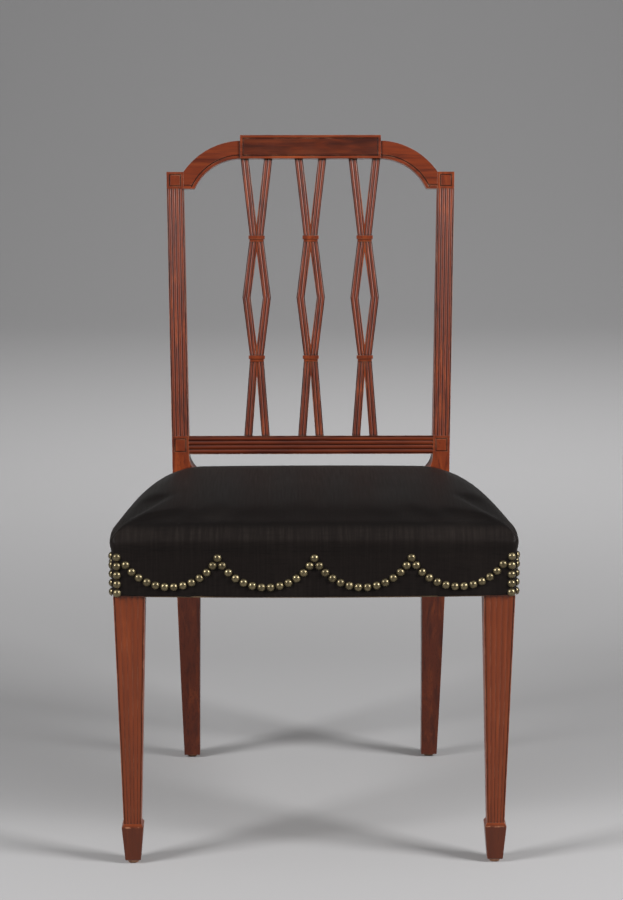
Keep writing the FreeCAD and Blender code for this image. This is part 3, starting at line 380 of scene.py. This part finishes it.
def mahogany(name, grain, warmth=0.0, depth=0.0, figure=0.25, dark_below=0.0, dark_share=0.0):
    """Polished mahogany with its grain along one axis: warmer, deeper or darker below a height as asked."""
    wood = settings("wood")
    made = Finish(name)
    along = made.stretched(drawn_out(grain, GRAIN_SHARE))
    stripes = made.noise(along, scale=130, detail=5, roughness=0.6, distortion=0.6)
    broad = made.noise(along, scale=75, detail=4, roughness=0.55, distortion=1.0)
    pores = made.noise(made.stretched(drawn_out(grain, PORE_SHARE)), scale=900, detail=2)
    patches = made.noise(made.place, scale=9, detail=3)
    base = made.mix(made.ramp(stripes, 0.22, 0.56), wood.dark, wood.middle)
    base = made.stain(base, wood.light, made.ramp(broad, 0.48, 0.75), 0.55)
    base = made.stain(base, wood.dark, made.ramp(pores, 0.56, 0.70), 0.75)
    base = made.stain(base, wood.dark, made.ramp(patches, 0.50, 0.70), figure)
    base = made.mix(warmth, base, wood.orange)
    base = made.mix(depth, base, wood.shade)
    # Darker below a height: the dark spade feet, and painted shade on the rear posts below the seat.
    if dark_share:
        low = made.ramp(made.axis("Z"), dark_below, dark_below - FOOT_FADE)
        base = made.stain(base, wood.shade, low, dark_share)
    # Painted shade: ambient occlusion darkens grooves, inner corners and joints towards the shade colour.
    # This is partly old wax and partly painted shade.
    wax_and_shade_in_hollows = made.cavity(wood.groove)
    base = made.stain(base, wood.shade, wax_and_shade_in_hollows, 0.9)
    soft, _ = made.rounded(wood.edge_round)
    # Pale rubbed edges: polish worn off, and partly a painted highlight along the edges.
    _, edges = made.rounded(wood.wear)
    rub_and_highlight = made.ramp(made.noise(made.place, scale=60, detail=5), 0.42, 0.66)
    bare = made.maths("SUBTRACT", 1.0, wax_and_shade_in_hollows)
    base = made.stain(base, wood.worn, made.maths("MULTIPLY", made.maths("MULTIPLY", edges, rub_and_highlight), bare), 0.6)
    scuffs = made.noise(made.place, scale=45, detail=6, roughness=0.65)
    dusty = made.ramp(made.facing("Z"), 0.75, 0.97)
    rough = made.between(dusty, made.between(scuffs, 0.26, 0.48), DUSTY_ROUGHNESS)
    made.set(Base_Color=base, Roughness=rough, Coat_Weight=wood.coat, Coat_Roughness=0.34,
             Specular_IOR_Level=0.3, Normal=made.bump(pores, PORE_DEPTH, 0.35, soft))
    return made


def warm_front_leg(name):
    """Warmer mahogany with darker spade feet, nicked round their upper rims."""
    wood = settings("wood")
    made = mahogany(name, "Z", warmth=0.5, dark_below=wood.spade, dark_share=0.5)
    rim = made.band(made.axis("Z"), wood.spade - FOOT_FADE, RIM_HALF, RIM_FADE)
    nicks = made.ramp(made.noise(made.place, scale=140, detail=6), 0.48, 0.62)
    made.set(Base_Color=made.stain(made.base(), wood.worn, made.maths("MULTIPLY", rim, nicks), 0.6))
    return made


def figured_veneer(name):
    """Darker mahogany with flame figure and long dark patches, under the same polish."""
    wood = settings("wood")
    made = mahogany(name, "X", depth=0.6, figure=0.3)
    flame = made.noise(made.stretched((5, 30, 24)), scale=4, detail=5, roughness=0.6, distortion=1.6)
    blotch = made.noise(made.stretched((4, 14, 30)), scale=2.4, detail=3)
    base = made.stain(made.base(), wood.middle, made.ramp(flame, 0.42, 0.62), 0.3)
    base = made.stain(base, wood.shade, made.ramp(blotch, 0.48, 0.72), 0.6)
    made.set(Base_Color=base, Roughness=0.3)
    return made


def rail_ash(name):
    """Sawn and aged wood of the hidden seat frame."""
    inside = settings("inside")
    made = Finish(name)
    grain = made.noise(made.stretched((0.12, 0.6, 1)), scale=170, detail=4, roughness=0.6, distortion=0.5)
    dirt = made.noise(made.place, scale=14, detail=4)
    base = made.mix(made.ramp(grain, 0.35, 0.68), inside.ash_dark, inside.ash_light)
    base = made.stain(base, inside.ash_dirt, made.ramp(dirt, 0.48, 0.7), 0.6)
    saw = made.wave(made.place, scale=110, direction="X", distortion=3)
    soft, _ = made.rounded(inside.edge_round)
    made.set(Base_Color=base, Roughness=made.between(grain, 0.65, 0.85),
             Normal=made.bump(made.mix(0.5, grain, saw), SAW_DEPTH, 0.5, soft))
    return made


def linen_webbing(name):
    """Herringbone strap with a darker line inside each edge."""
    inside = settings("inside")
    made = Finish(name)
    weave = made.add("UVMap", {}, uv_map="weave").outputs[0]
    split = made.add("SeparateXYZ", {"Vector": weave})
    across, along = split.outputs["X"], split.outputs["Y"]
    half = made.maths("ABSOLUTE", made.maths("SUBTRACT", across, 0.5))
    zigzag = made.maths("PINGPONG", made.maths("MULTIPLY", across, ZIGZAGS), 1.0)
    slant = made.maths("ADD", zigzag, made.maths("MULTIPLY", along, RIBS))
    ribs = made.maths("PINGPONG", made.maths("MULTIPLY", slant, 2.0), 1.0)
    stripe = made.band(half, LINE_PLACE, LINE_HALF, LINE_FADE)
    dirt = made.noise(made.place, scale=22, detail=5)
    base = made.mix(made.ramp(ribs, 0.1, 0.9), inside.linen_dark, inside.linen_light)
    base = made.stain(base, inside.stripe, stripe, 0.75)
    base = made.stain(base, inside.linen_dirt, made.ramp(dirt, 0.45, 0.75), 0.55)
    made.set(Base_Color=base, Roughness=0.9, Sheen_Weight=0.2, Normal=made.bump(ribs, RIB_DEPTH, 0.8))
    return made


def jute_sacking(name):
    """Open plain weave of coarse yarn."""
    inside = settings("inside")
    made = Finish(name)
    warp = made.wave(made.place, scale=150, direction="X", distortion=1.2)
    weft = made.wave(made.place, scale=140, direction="Y", distortion=1.2)
    cross = made.maths("MULTIPLY", warp, weft)
    dirt = made.noise(made.place, scale=18, detail=5)
    base = made.mix(made.ramp(cross, 0.0, 0.5), inside.jute_dark, inside.jute_light)
    base = made.stain(base, inside.stripe, made.ramp(dirt, 0.45, 0.7), 0.5)
    made.set(Base_Color=base, Roughness=0.95, Normal=made.bump(cross, YARN_DEPTH, 0.9))
    return made


def hair_stuffing(name):
    """Matted curled hair."""
    inside = settings("inside")
    made = Finish(name)
    curls = made.wave(made.place, scale=60, direction="DIAGONAL", distortion=18)
    tufts = made.noise(made.place, scale=70, detail=8, roughness=0.7, distortion=2.0)
    made.set(Base_Color=made.mix(tufts, inside.hair_dark, inside.hair_light), Roughness=0.9,
             Normal=made.bump(made.mix(0.5, curls, tufts), CURL_DEPTH))
    return made


def horsehair_cloth(name):
    """Black satin weave: hairs lie across the seat, with a painted sheen of fine warp streaks on the rolled
    edge and painted shade on its top.
    """
    seat = settings("seat")
    made = Finish(name)
    side = made.ramp(made.maths("ABSOLUTE", made.facing("X")), 0.55, 0.8)
    x, y, z = made.axis("X"), made.axis("Y"), made.axis("Z")
    down = made.maths("ADD", y, made.maths("MULTIPLY", z, made.maths("SUBTRACT", 1.0, side)))
    over = made.maths("ADD", x, made.maths("MULTIPLY", z, side))
    lie = made.add("CombineXYZ", {"X": over, "Y": down}).outputs[0]
    wobble = made.noise(made.scaled(lie, (4, 40, 1)), scale=6, detail=3)
    ribs = made.wave(lie, scale=200, direction="Y", distortion=1.5)
    streaks = made.noise(made.scaled(lie, (1, 0.03, 1)), scale=420, detail=3)
    hairs = made.noise(made.scaled(lie, (0.04, 1, 1)), scale=700, detail=3)
    # Painted sheen: a band of light warp streaks along the rolled edge, brightening the cloth towards the
    # sheen colour.
    sheen_band_middle = RAIL_HIGH.z + seat.edge_rise + seat.roll * 0.35
    rolled = made.band(z, sheen_band_middle, seat.roll * 0.15, seat.roll * 0.35)
    lift = made.maths("MULTIPLY", made.ramp(streaks, 0.35, 0.8), made.between(rolled, 0.16, 0.34))
    lift = made.maths("MULTIPLY", lift, made.between(wobble, 0.5, 1.2))
    base = made.mix(lift, seat.cloth, seat.cloth_sheen_and_dust)
    base = made.stain(base, seat.deep_hair_and_top_shade, made.ramp(hairs, 0.50, 0.72), 0.45)
    # Painted shade: the upward-facing top of the cover is darkened towards the deep colour.
    painted_top_shade = made.ramp(made.facing("Z"), 0.72, 0.95)
    base = made.stain(base, seat.deep_hair_and_top_shade, painted_top_shade, 0.7)
    # Real dust, in the same pale colour as the painted sheen.
    dust = made.ramp(made.noise(made.place, scale=11, detail=5), 0.52, 0.75)
    base = made.stain(base, seat.cloth_sheen_and_dust, dust, 0.10)
    made.set(Base_Color=base, Roughness=made.between(streaks, 0.34, 0.50), Sheen_Weight=0.02,
             Sheen_Roughness=0.35, Sheen_Tint=(0.8, 0.76, 0.7, 1.0), Specular_IOR_Level=0.06,
             Normal=made.bump(made.mix(0.45, ribs, hairs), HAIR_DEPTH, 0.6))
    return made


def antique_brass(name, facing):
    """Aged nail heads: lighter on the crown, darker towards the rim as the surface turns from the facing
    axis. Facing is the axis they look along.
    """
    metal = settings("metal")
    made = Finish(name)
    crown = made.ramp(made.maths("ABSOLUTE", made.facing(facing)), 0.12, 0.58)
    tone = made.ramp(made.noise(made.place, scale=75, detail=2), 0.35, 0.65)
    spots = made.noise(made.place, scale=420, detail=4, roughness=0.6)
    base = made.mix(made.between(tone, 0.55, 1.0), metal.tarnish, metal.brass)
    # Darker towards the rim of each head, by how far the surface turns from the facing axis.
    base = made.mix(crown, metal.tarnish, base)
    base = made.stain(base, metal.tarnish, made.ramp(spots, 0.52, 0.68), 0.6)
    hammer = made.noise(made.place, scale=330, detail=2)
    made.set(Base_Color=base, Metallic=0.85, Roughness=made.between(spots, 0.26, 0.42),
             Normal=made.bump(hammer, HAMMER_DEPTH, 0.4))
    return made


def glide_steel(name):
    """Worn steel with scratches and rust spots."""
    metal = settings("metal")
    made = Finish(name)
    scratch = made.noise(made.stretched((1, 0.05, 1)), scale=900, detail=3)
    rust = made.noise(made.place, scale=240, detail=5)
    base = made.stain(metal.steel, metal.rust, made.ramp(rust, 0.52, 0.7), 0.6)
    made.set(Base_Color=base, Metallic=0.6, Roughness=made.between(scratch, 0.35, 0.6),
             Normal=made.bump(scratch, SCRATCH_DEPTH, 0.4))
    return made


def new_piece(name, bm, material, slot, *nodes):
    """Object at the origin from a bmesh, riding on the chair in place of its CAD nodes."""
    mesh = bpy.data.meshes.new(name)
    bm.to_mesh(mesh)
    bm.free()
    mesh.materials.clear()
    mesh.materials.append(material)
    mesh.shade_smooth()
    piece = bpy.data.objects.new(name, mesh)
    bpy.context.scene.collection.objects.link(piece)
    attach(piece, "root")
    if nodes:
        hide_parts(*nodes)
    return piece


def evaluated(piece):
    """The piece's mesh with its modifiers run, as a new mesh."""
    graph = bpy.context.evaluated_depsgraph_get()
    return bpy.data.meshes.new_from_object(piece.evaluated_get(graph))


def seat_outline(seat):
    """Plan of the seat from the front's middle round the right side to the back's middle."""
    front, back = COVER_LOW.y, COVER_HIGH.y
    half = COVER_HIGH.x
    bow = LEG_LOW.y - front - COVER_GAP
    points = []
    for step in range(BOW_STEPS):
        x = (half - seat.corner) * step / BOW_STEPS
        points.append((x, front + bow * (x / half) ** 2))
    centre = (half - seat.corner, front + bow * ((half - seat.corner) / half) ** 2 + seat.corner)
    for step in range(CORNER_STEPS + 1):
        turn = math.pi / 2 * step / CORNER_STEPS
        points.append((centre[0] + seat.corner * math.sin(turn), centre[1] - seat.corner * math.cos(turn)))
    points += [(half, LEG_HIGH.y), (REAR_HALF, back), (0.0, back)]
    return points


def nearest_on(points, x, y):
    """Nearest point on a path, with its distance and the direction that points out of the seat there."""
    best = None
    for (ax, ay), (bx, by) in zip(points, points[1:]):
        dx, dy = bx - ax, by - ay
        t = max(0.0, min(1.0, ((x - ax) * dx + (y - ay) * dy) / (dx * dx + dy * dy)))
        px, py = ax + t * dx, ay + t * dy
        off = math.hypot(x - px, y - py)
        if best is None or off < best[0]:
            span = math.hypot(dx, dy)
            best = (off, px, py, dy / span, -dx / span)
    return best


def smooth(low, high, value):
    """Soft step from 0 to 1 between two limits."""
    share = max(0.0, min(1.0, (value - low) / (high - low)))
    return share * share * (3 - 2 * share)


def seat_block(seat, top):
    """Squared block of the seat's plan, as quads of an even size."""
    outline = seat_outline(seat)
    loop = outline + [(-x, y) for x, y in reversed(outline[1:-1])]
    bm = bmesh.new()
    face = bm.faces.new([bm.verts.new((x, y, COVER_LOW.z)) for x, y in loop])
    raised = bmesh.ops.extrude_face_region(bm, geom=[face])["geom"]
    lifted = [item for item in raised if isinstance(item, bmesh.types.BMVert)]
    bmesh.ops.translate(bm, verts=lifted, vec=(0, 0, top - COVER_LOW.z))
    bmesh.ops.recalc_face_normals(bm, faces=bm.faces)
    mesh = bpy.data.meshes.new("seat_block")
    bm.to_mesh(mesh)
    bm.free()
    block = bpy.data.objects.new("seat_block", mesh)
    bpy.context.scene.collection.objects.link(block)
    remesh = block.modifiers.new("Even quads", "REMESH")
    remesh.mode = "VOXEL"
    remesh.voxel_size = seat.voxel
    even = evaluated(block)
    bpy.data.objects.remove(block)
    return even, outline


def crown_fall(off, radius):
    """Drop of a crown at a distance from its middle."""
    return off * off / (2 * radius)


def roll_edges(mesh, outline, seat, edge):
    """Draw the block's upper edges round the roll, over the rails, and crown its top."""
    crown_y = LEG_LOW.y + seat.crown_back
    nailed = RAIL_HIGH.z - BULGE_DROP
    for vertex in mesh.vertices:
        x, y, z = vertex.co
        inset, px, py, out_x, out_y = nearest_on(outline, abs(x), y)
        rise = min(z - edge, seat.roll)
        on_wall = inset < seat.voxel * WALL_SHARE
        if rise <= 0 and not on_wall:
            continue
        top = COVER_HIGH.z - crown_fall(y - crown_y, seat.crown_along) - crown_fall(x, seat.crown_across)
        if rise <= 0:
            turn = 0.0
            share = (z - COVER_LOW.z) / (edge - COVER_LOW.z)
            height = COVER_LOW.z + share * (top - seat.roll - COVER_LOW.z)
        else:
            turn = math.pi / 4 * rise / seat.roll
            if not on_wall or rise > seat.roll * ROLL_END:
                turn = math.pi / 2 - math.pi / 4 * max(0.0, 1 - inset / seat.roll)
            height = top - seat.roll * (1 - math.sin(turn))
        if turn < math.pi / 2:
            stand = seat.bulge * smooth(nailed, top - seat.roll, height) * math.cos(turn)
            stand *= 1 - smooth(POST_LOW.y - BULGE_FADE, POST_LOW.y, y)
            out = stand - seat.roll * (1 - math.cos(turn))
            inward = Vector((abs(x) - px, y - py))
            if inset > seat.voxel * WALL_SHARE:
                out_x, out_y = -inward / inset
            vertex.co.x = math.copysign(px + out_x * out, x)
            vertex.co.y = py + out_y * out
        vertex.co.z = height


def swell(piece, pinned, pressure, cap):
    """Fill the seat with air by cloth simulation while its nailed sides stay put."""
    scene = bpy.context.scene
    nailed = piece.vertex_groups.new(name="nailed")
    nailed.add(pinned, 1.0, "REPLACE")
    cloth = piece.modifiers.new("Swell", "CLOTH")
    cloth.settings.use_pressure = True
    cloth.settings.uniform_pressure_force = pressure
    cloth.settings.vertex_group_mass = nailed.name
    cloth.settings.bending_stiffness = SWELL_STIFFNESS
    cloth.settings.effector_weights.gravity = 0.0
    cloth.collision_settings.use_collision = False
    for step in range(1, SWELL_FRAMES + 1):
        scene.frame_set(step)
    filled = evaluated(piece)
    for vertex, moved in zip(piece.data.vertices, filled.vertices):
        way = moved.co - vertex.co
        if way.length > cap:
            way *= cap / way.length
        vertex.co += way
    piece.modifiers.remove(cloth)
    piece.vertex_groups.remove(nailed)
    bpy.data.meshes.remove(filled)
    scene.frame_set(1)


def cut_notches(bm):
    """Open the cover where the leaning posts pass through it."""
    rail_top = RAIL_HIGH.z
    x, y = POST_LOW.x - NOTCH, POST_LOW.y - NOTCH
    lean = Vector((0, math.cos(BACK_RAKE), -math.sin(BACK_RAKE)))
    planes = [((0, 0, rail_top), Vector((0, 0, 1)), lambda c: True),
              ((0, y, rail_top), lean, lambda c: c.z > rail_top),
              ((0, y, rail_top), Vector((0, 1, 0)), lambda c: c.z < rail_top),
              ((x, 0, 0), Vector((1, 0, 0)), lambda c: True),
              ((-x, 0, 0), Vector((1, 0, 0)), lambda c: True)]

    def by_post(c):
        return abs(c.x) > x - NOTCH_REACH and c.y > y - NOTCH_REACH

    def gone(c):
        behind = y + max(0.0, c.z - rail_top) * math.tan(BACK_RAKE)
        return abs(c.x) > x and c.y > behind

    for place, normal, wanted in planes:
        parts = {}
        for face in bm.faces:
            centre = face.calc_center_median()
            if by_post(centre) and wanted(centre):
                parts.update(dict.fromkeys([face, *face.edges, *face.verts]))
        bmesh.ops.bisect_plane(bm, geom=list(parts), plane_co=place, plane_no=normal, dist=CUT_LIMIT)
    cut = [f for f in bm.faces if gone(f.calc_center_median())]
    bmesh.ops.delete(bm, geom=cut, context="FACES")


def cover_form(seat, edge):
    """Rolled and crowned cover, open below."""
    even, outline = seat_block(seat, edge + seat.roll)
    roll_edges(even, outline, seat, edge)
    bm = bmesh.new()
    bm.from_mesh(even)
    bpy.data.meshes.remove(even)
    under = [f for f in bm.faces if f.normal.z < FACING_DOWN]
    bmesh.ops.delete(bm, geom=under, context="FACES")
    upper = [v for v in bm.verts if v.co.z > edge]
    bmesh.ops.smooth_vert(bm, verts=upper, factor=0.5, use_axis_x=True, use_axis_y=True, use_axis_z=True)
    return bm


def stuff_seat(cover, seat):
    """Closed pad of hair that fills the cover above the sacking."""
    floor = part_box("seat_stuffing")[0].z
    bm = bmesh.new()
    bm.from_mesh(cover.data)
    for vertex in bm.verts:
        vertex.co -= vertex.normal * (seat.cloth_thickness + STUFFING_GAP)
    cut_notches(bm)
    bmesh.ops.bisect_plane(bm, geom=bm.verts[:] + bm.edges[:] + bm.faces[:], plane_co=(0, 0, floor),
                           plane_no=(0, 0, 1), clear_inner=True, dist=CUT_LIMIT)
    bmesh.ops.holes_fill(bm, edges=[e for e in bm.edges if e.is_boundary], sides=0)
    hair = finish_of("curled_hair", hair_stuffing)
    pad = new_piece("seat_stuffing_pad", bm, hair, "hair_stuffing", "seat_stuffing")


class CHAIR_OT_cover_seat(Operator):
    """Stretch the horsehair cover over the stuffed seat"""
    bl_idname = "chair.cover_seat"
    bl_label = "Cover the seat"

    def execute(self, context):
        seat = settings("seat")
        edge = RAIL_HIGH.z + seat.edge_rise
        cloth = finish_of("black_horsehair", horsehair_cloth)
        cover = new_piece("seat_cover_cloth", cover_form(seat, edge), cloth, "horsehair_cloth", "seat_cover")
        pinned = [v.index for v in cover.data.vertices if v.co.z < edge]
        swell(cover, pinned, seat.swell, seat.swell_cap)
        stuff_seat(cover, seat)
        bm = bmesh.new()
        bm.from_mesh(cover.data)
        cut_notches(bm)
        area = sum(f.calc_area() for f in bm.faces)
        bm.to_mesh(cover.data)
        bm.free()
        cover.data.shade_smooth()
        thick = cover.modifiers.new("Cloth", "SOLIDIFY")
        thick.thickness = seat.cloth_thickness
        thick.offset = -1.0
        fine = cover.modifiers.new("Fine", "SUBSURF")
        fine.levels = fine.render_levels = 1
        return {"FINISHED"}


def strap(name, runs_back, crossings, over_first):
    """One webbing strap, woven over and under the straps that cross it."""
    seat = settings("seat")
    low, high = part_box(f"webbing_{name}")
    start, finish = (low.y, high.y) if runs_back else (low.x, high.x)
    left, right = (low.x, high.x) if runs_back else (low.y, high.y)
    thickness = high.z - low.z
    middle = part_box("webbing_long_middle")[1].z
    bm = bmesh.new()
    bmesh.ops.create_grid(bm, x_segments=STRAP_COLUMNS, y_segments=seat.strap_rows, size=0.5, calc_uvs=False)
    weave = bm.loops.layers.uv.new("weave")
    for face in bm.faces:
        for loop in face.loops:
            u, v = loop.vert.co.x + 0.5, loop.vert.co.y + 0.5
            loop[weave].uv = (u, v * (finish - start) / (right - left))
    for vertex in bm.verts:
        across = left + (vertex.co.x + 0.5) * (right - left)
        along = start + (vertex.co.y + 0.5) * (finish - start)
        lift = 0.0
        for count, centre in enumerate(crossings):
            near = max(0.0, 1 - max(0.0, abs(along - centre) - (right - left) / 2) / STRAP_EASE)
            sign = 1 if (count + over_first) % 2 else -1
            lift += sign * smooth(0.0, 1.0, near)
        vertex.co = (across, along, 0) if runs_back else (along, across, 0)
        vertex.co.z = middle + lift * thickness / 2
    bmesh.ops.recalc_face_normals(bm, faces=bm.faces)
    linen = finish_of("striped_webbing", linen_webbing)
    piece = new_piece(f"strap_{name}", bm, linen, "linen_webbing", f"webbing_{name}")
    thick = piece.modifiers.new("Strap", "SOLIDIFY")
    thick.thickness = thickness * SHEET_FIT
    thick.offset = 0.0


def middle_of(node, axis):
    """Middle of a node's box along one axis."""
    low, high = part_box(node)
    return (low[axis] + high[axis]) / 2


class CHAIR_OT_weave_webbing(Operator):
    """Weave the straps across the seat frame"""
    bl_idname = "chair.weave_webbing"
    bl_label = "Weave the webbing"

    def execute(self, context):
        across = [middle_of(f"webbing_{name}", 1) for name in CROSS_STRAPS]
        along = [middle_of(f"webbing_{name}", 0) for name in LONG_STRAPS]
        for turn, name in enumerate(LONG_STRAPS):
            strap(name, True, across, turn % 2)
        for turn, name in enumerate(CROSS_STRAPS):
            strap(name, False, along, (turn + 1) % 2)
        return {"FINISHED"}


class CHAIR_OT_lay_sacking(Operator):
    """Lay the sacking over the webbing, sagging a little between the straps"""
    bl_idname = "chair.lay_sacking"
    bl_label = "Lay the sacking"

    def execute(self, context):
        low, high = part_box("sacking")
        front, back = RAIL_LOW.y + SACKING_MARGIN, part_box("rear_rail")[1].y - SACKING_MARGIN
        front_half = high.x - SACKING_MARGIN
        rear_half = POST_LOW.x - NOTCH
        xs = [middle_of(f"webbing_{name}", 0) for name in LONG_STRAPS]
        ys = [middle_of(f"webbing_{name}", 1) for name in CROSS_STRAPS]
        strap_low, strap_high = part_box("webbing_long_middle")
        reach = (strap_high.x - strap_low.x) / 2
        bm = bmesh.new()
        bmesh.ops.create_grid(bm, x_segments=SACKING_FACES, y_segments=SACKING_FACES, size=0.5)
        for vertex in bm.verts:
            share = vertex.co.y + 0.5
            half = front_half + (rear_half - front_half) * share
            x, y = vertex.co.x * 2 * half, front + (back - front) * share
            off_x = max(0.0, min(abs(x - c) for c in xs) - reach)
            off_y = max(0.0, min(abs(y - c) for c in ys) - reach)
            sag = min(off_x, off_y, SACKING_SAG * SAG_SPREAD) / SAG_SPREAD
            vertex.co = (x, y, (low.z + high.z) / 2 - sag)
        jute = finish_of("coarse_sacking", jute_sacking)
        piece = new_piece("seat_sacking", bm, jute, "jute_sacking", "sacking")
        thick = piece.modifiers.new("Sacking", "SOLIDIFY")
        thick.thickness = (high.z - low.z) * SHEET_FIT
        thick.offset = 0.0
        return {"FINISHED"}


class CHAIR_OT_polish_back(Operator):
    """Polish the crest, tablet, stay rail, splats and rear posts"""
    bl_idname = "chair.polish_back"
    bl_label = "Polish the back"

    def execute(self, context):
        upright = finish_of("mahogany_upright", mahogany, "Z")
        across = finish_of("mahogany_across", mahogany, "X")
        # Painted shade: the rear posts are darkened below the seat rails, where the seat shades them.
        post = finish_of("mahogany_post_shaded_below_seat", mahogany, "Z", dark_below=RAIL_LOW.z, dark_share=0.35)
        paint(upright, "splat_left", "splat_centre", "splat_right")
        paint(post, *both("rear_post"))
        paint(across, "crest_rail")
        paint(finish_of("mahogany_low", mahogany, "X", depth=0.3), "stay_rail")
        paint(finish_of("polished_veneer", figured_veneer), "tablet_veneer")
        return {"FINISHED"}


class CHAIR_OT_polish_front_legs(Operator):
    """Polish the front legs in a warmer tone than the back"""
    bl_idname = "chair.polish_front_legs"
    bl_label = "Polish the front legs"

    def execute(self, context):
        paint(finish_of("mahogany_warm_front", warm_front_leg), *both("front_leg"))
        return {"FINISHED"}


class CHAIR_OT_frame_seat(Operator):
    """Finish the seat rails and glue blocks as sawn wood"""
    bl_idname = "chair.frame_seat"
    bl_label = "Finish the seat frame"

    def execute(self, context):
        sawn = finish_of("sawn_ash", rail_ash)
        paint(sawn, "front_rail", "rear_rail", *both("side_rail"), *both("front_block"), *both("rear_block"))
        return {"FINISHED"}


class CHAIR_OT_set_metal(Operator):
    """Finish the brass nails and the foot glides"""
    bl_idname = "chair.set_metal"
    bl_label = "Finish the metal"

    def execute(self, context):
        paint(finish_of("waxed_brass_front", antique_brass, "Y"), "front_swag_nails", "front_corner_nails")
        paint(finish_of("waxed_brass_side", antique_brass, "X"), "left_side_nails", "right_side_nails")
        paint(finish_of("worn_steel", glide_steel), *both("front_glide"), *both("rear_glide"))
        return {"FINISHED"}


def soft_box(name, place, target, size, power):
    """Rectangular studio light aimed at a point."""
    lamp = bpy.data.lights.new(name, "AREA")
    lamp.shape = "RECTANGLE"
    lamp.size, lamp.size_y = size
    lamp.energy = power
    holder = bpy.data.objects.new(name, lamp)
    holder.location = place
    holder.rotation_euler = (Vector(target) - Vector(place)).to_track_quat("-Z", "Y").to_euler()
    bpy.context.scene.collection.objects.link(holder)
    return holder


def studio_floor(stage):
    """Pale paper floor that turns up into a backdrop."""
    bm = bmesh.new()
    corners = ((STAGE_FRONT, 0.0), (STAGE_BACK, 0.0), (STAGE_BACK, STAGE_HEIGHT))
    path = [bm.verts.new((-STAGE_HALF, y, z)) for y, z in corners]
    edges = [bm.edges.new(pair) for pair in zip(path, path[1:])]
    swept = bmesh.ops.extrude_edge_only(bm, edges=edges)["geom"]
    moved = [item for item in swept if isinstance(item, bmesh.types.BMVert)]
    bmesh.ops.translate(bm, verts=moved, vec=(2 * STAGE_HALF, 0, 0))
    fold = [e for e in bm.edges if all(abs(v.co.y - STAGE_BACK) < MM and abs(v.co.z) < MM for v in e.verts)]
    bmesh.ops.bevel(bm, geom=fold, offset=STAGE_COVE, segments=COVE_STEPS, profile=0.5, affect="EDGES",
                    offset_type="OFFSET", material=-1)
    bmesh.ops.recalc_face_normals(bm, faces=bm.faces)
    mesh = bpy.data.meshes.new("studio_floor")
    bm.to_mesh(mesh)
    bm.free()
    mesh.shade_smooth()
    floor = bpy.data.objects.new("studio_floor", mesh)
    bpy.context.scene.collection.objects.link(floor)
    paper = Finish("studio_paper")
    paper.set(Base_Color=(*stage.floor, 1.0), Roughness=0.9, Specular_IOR_Level=0.1)
    mesh.materials.append(paper.material)


def studio_light(stage):
    """Soft boxes on both sides and above, a light on the backdrop, and a little even light."""
    soft_box("left_light", LEFT_PLACE, SIDE_AIM, SIDE_BOX, stage.left_power)
    soft_box("right_light", RIGHT_PLACE, SIDE_AIM, SIDE_BOX, stage.right_power)
    soft_box("top_light", TOP_PLACE, TOP_AIM, TOP_BOX, stage.top_power)
    back = soft_box("back_light", BACK_PLACE, BACK_AIM, BACK_BOX, stage.back_power)
    back.visible_glossy = False
    world = bpy.data.worlds.new("studio")
    world.use_nodes = True
    sky = world.node_tree.nodes["Background"]
    sky.inputs["Color"].default_value = SKY
    sky.inputs["Strength"].default_value = stage.ambient
    bpy.context.scene.world = world


def studio_camera(stage):
    """Camera in front of the chair, looking a little down."""
    scene = bpy.context.scene
    camera = bpy.data.objects.new("camera", bpy.data.cameras.new("camera"))
    camera.data.lens = stage.lens
    camera.data.sensor_width = camera.data.sensor_height = SENSOR
    camera.location = stage.camera_place
    level = math.cos(stage.camera_tilt)
    look = Vector((math.sin(stage.camera_turn) * level, math.cos(stage.camera_turn) * level,
                   -math.sin(stage.camera_tilt)))
    camera.rotation_euler = look.to_track_quat("-Z", "Y").to_euler()
    scene.collection.objects.link(camera)
    scene.camera = camera


class CHAIR_OT_set_stage(Operator):
    """Floor with a coved backdrop, soft lights and the camera"""
    bl_idname = "chair.set_stage"
    bl_label = "Set the stage"

    def execute(self, context):
        stage = settings("stage")
        studio_floor(stage)
        studio_light(stage)
        studio_camera(stage)
        context.scene.view_settings.view_transform = "Standard"
        return {"FINISHED"}


OPERATORS = (CHAIR_OT_polish_back, CHAIR_OT_polish_front_legs, CHAIR_OT_frame_seat, CHAIR_OT_set_metal,
             CHAIR_OT_weave_webbing, CHAIR_OT_lay_sacking, CHAIR_OT_cover_seat, CHAIR_OT_set_stage)
GROUPS = {"wood": ChairWood, "seat": ChairSeat, "inside": ChairInside, "metal": ChairMetal,
          "stage": ChairStage}


class VIEW3D_PT_chair(Panel):
    """Lists the chair's pieces"""
    bl_label = "Splat Back Side Chair"
    bl_space_type = "VIEW_3D"
    bl_region_type = "UI"
    bl_category = "Chair"

    def draw(self, context):
        for operator in OPERATORS:
            self.layout.operator(operator.bl_idname)


CLASSES = (*GROUPS.values(), *OPERATORS, VIEW3D_PT_chair)


def register():
    """Add the classes and the scene's groups of values."""
    for item in CLASSES:
        bpy.utils.register_class(item)
    for name, group in GROUPS.items():
        setattr(bpy.types.Scene, f"chair_{name}", PointerProperty(type=group))


def unregister():
    """Take out what register added."""
    for name in GROUPS:
        delattr(bpy.types.Scene, f"chair_{name}")
    for item in reversed(CLASSES):
        bpy.utils.unregister_class(item)


def main():
    """Make each group of pieces in turn."""
    register()
    bpy.ops.chair.polish_back()
    bpy.ops.chair.polish_front_legs()
    bpy.ops.chair.frame_seat()
    bpy.ops.chair.set_metal()
    bpy.ops.chair.weave_webbing()
    bpy.ops.chair.lay_sacking()
    bpy.ops.chair.cover_seat()
    bpy.ops.chair.set_stage()


if __name__ == "__main__":
    main()
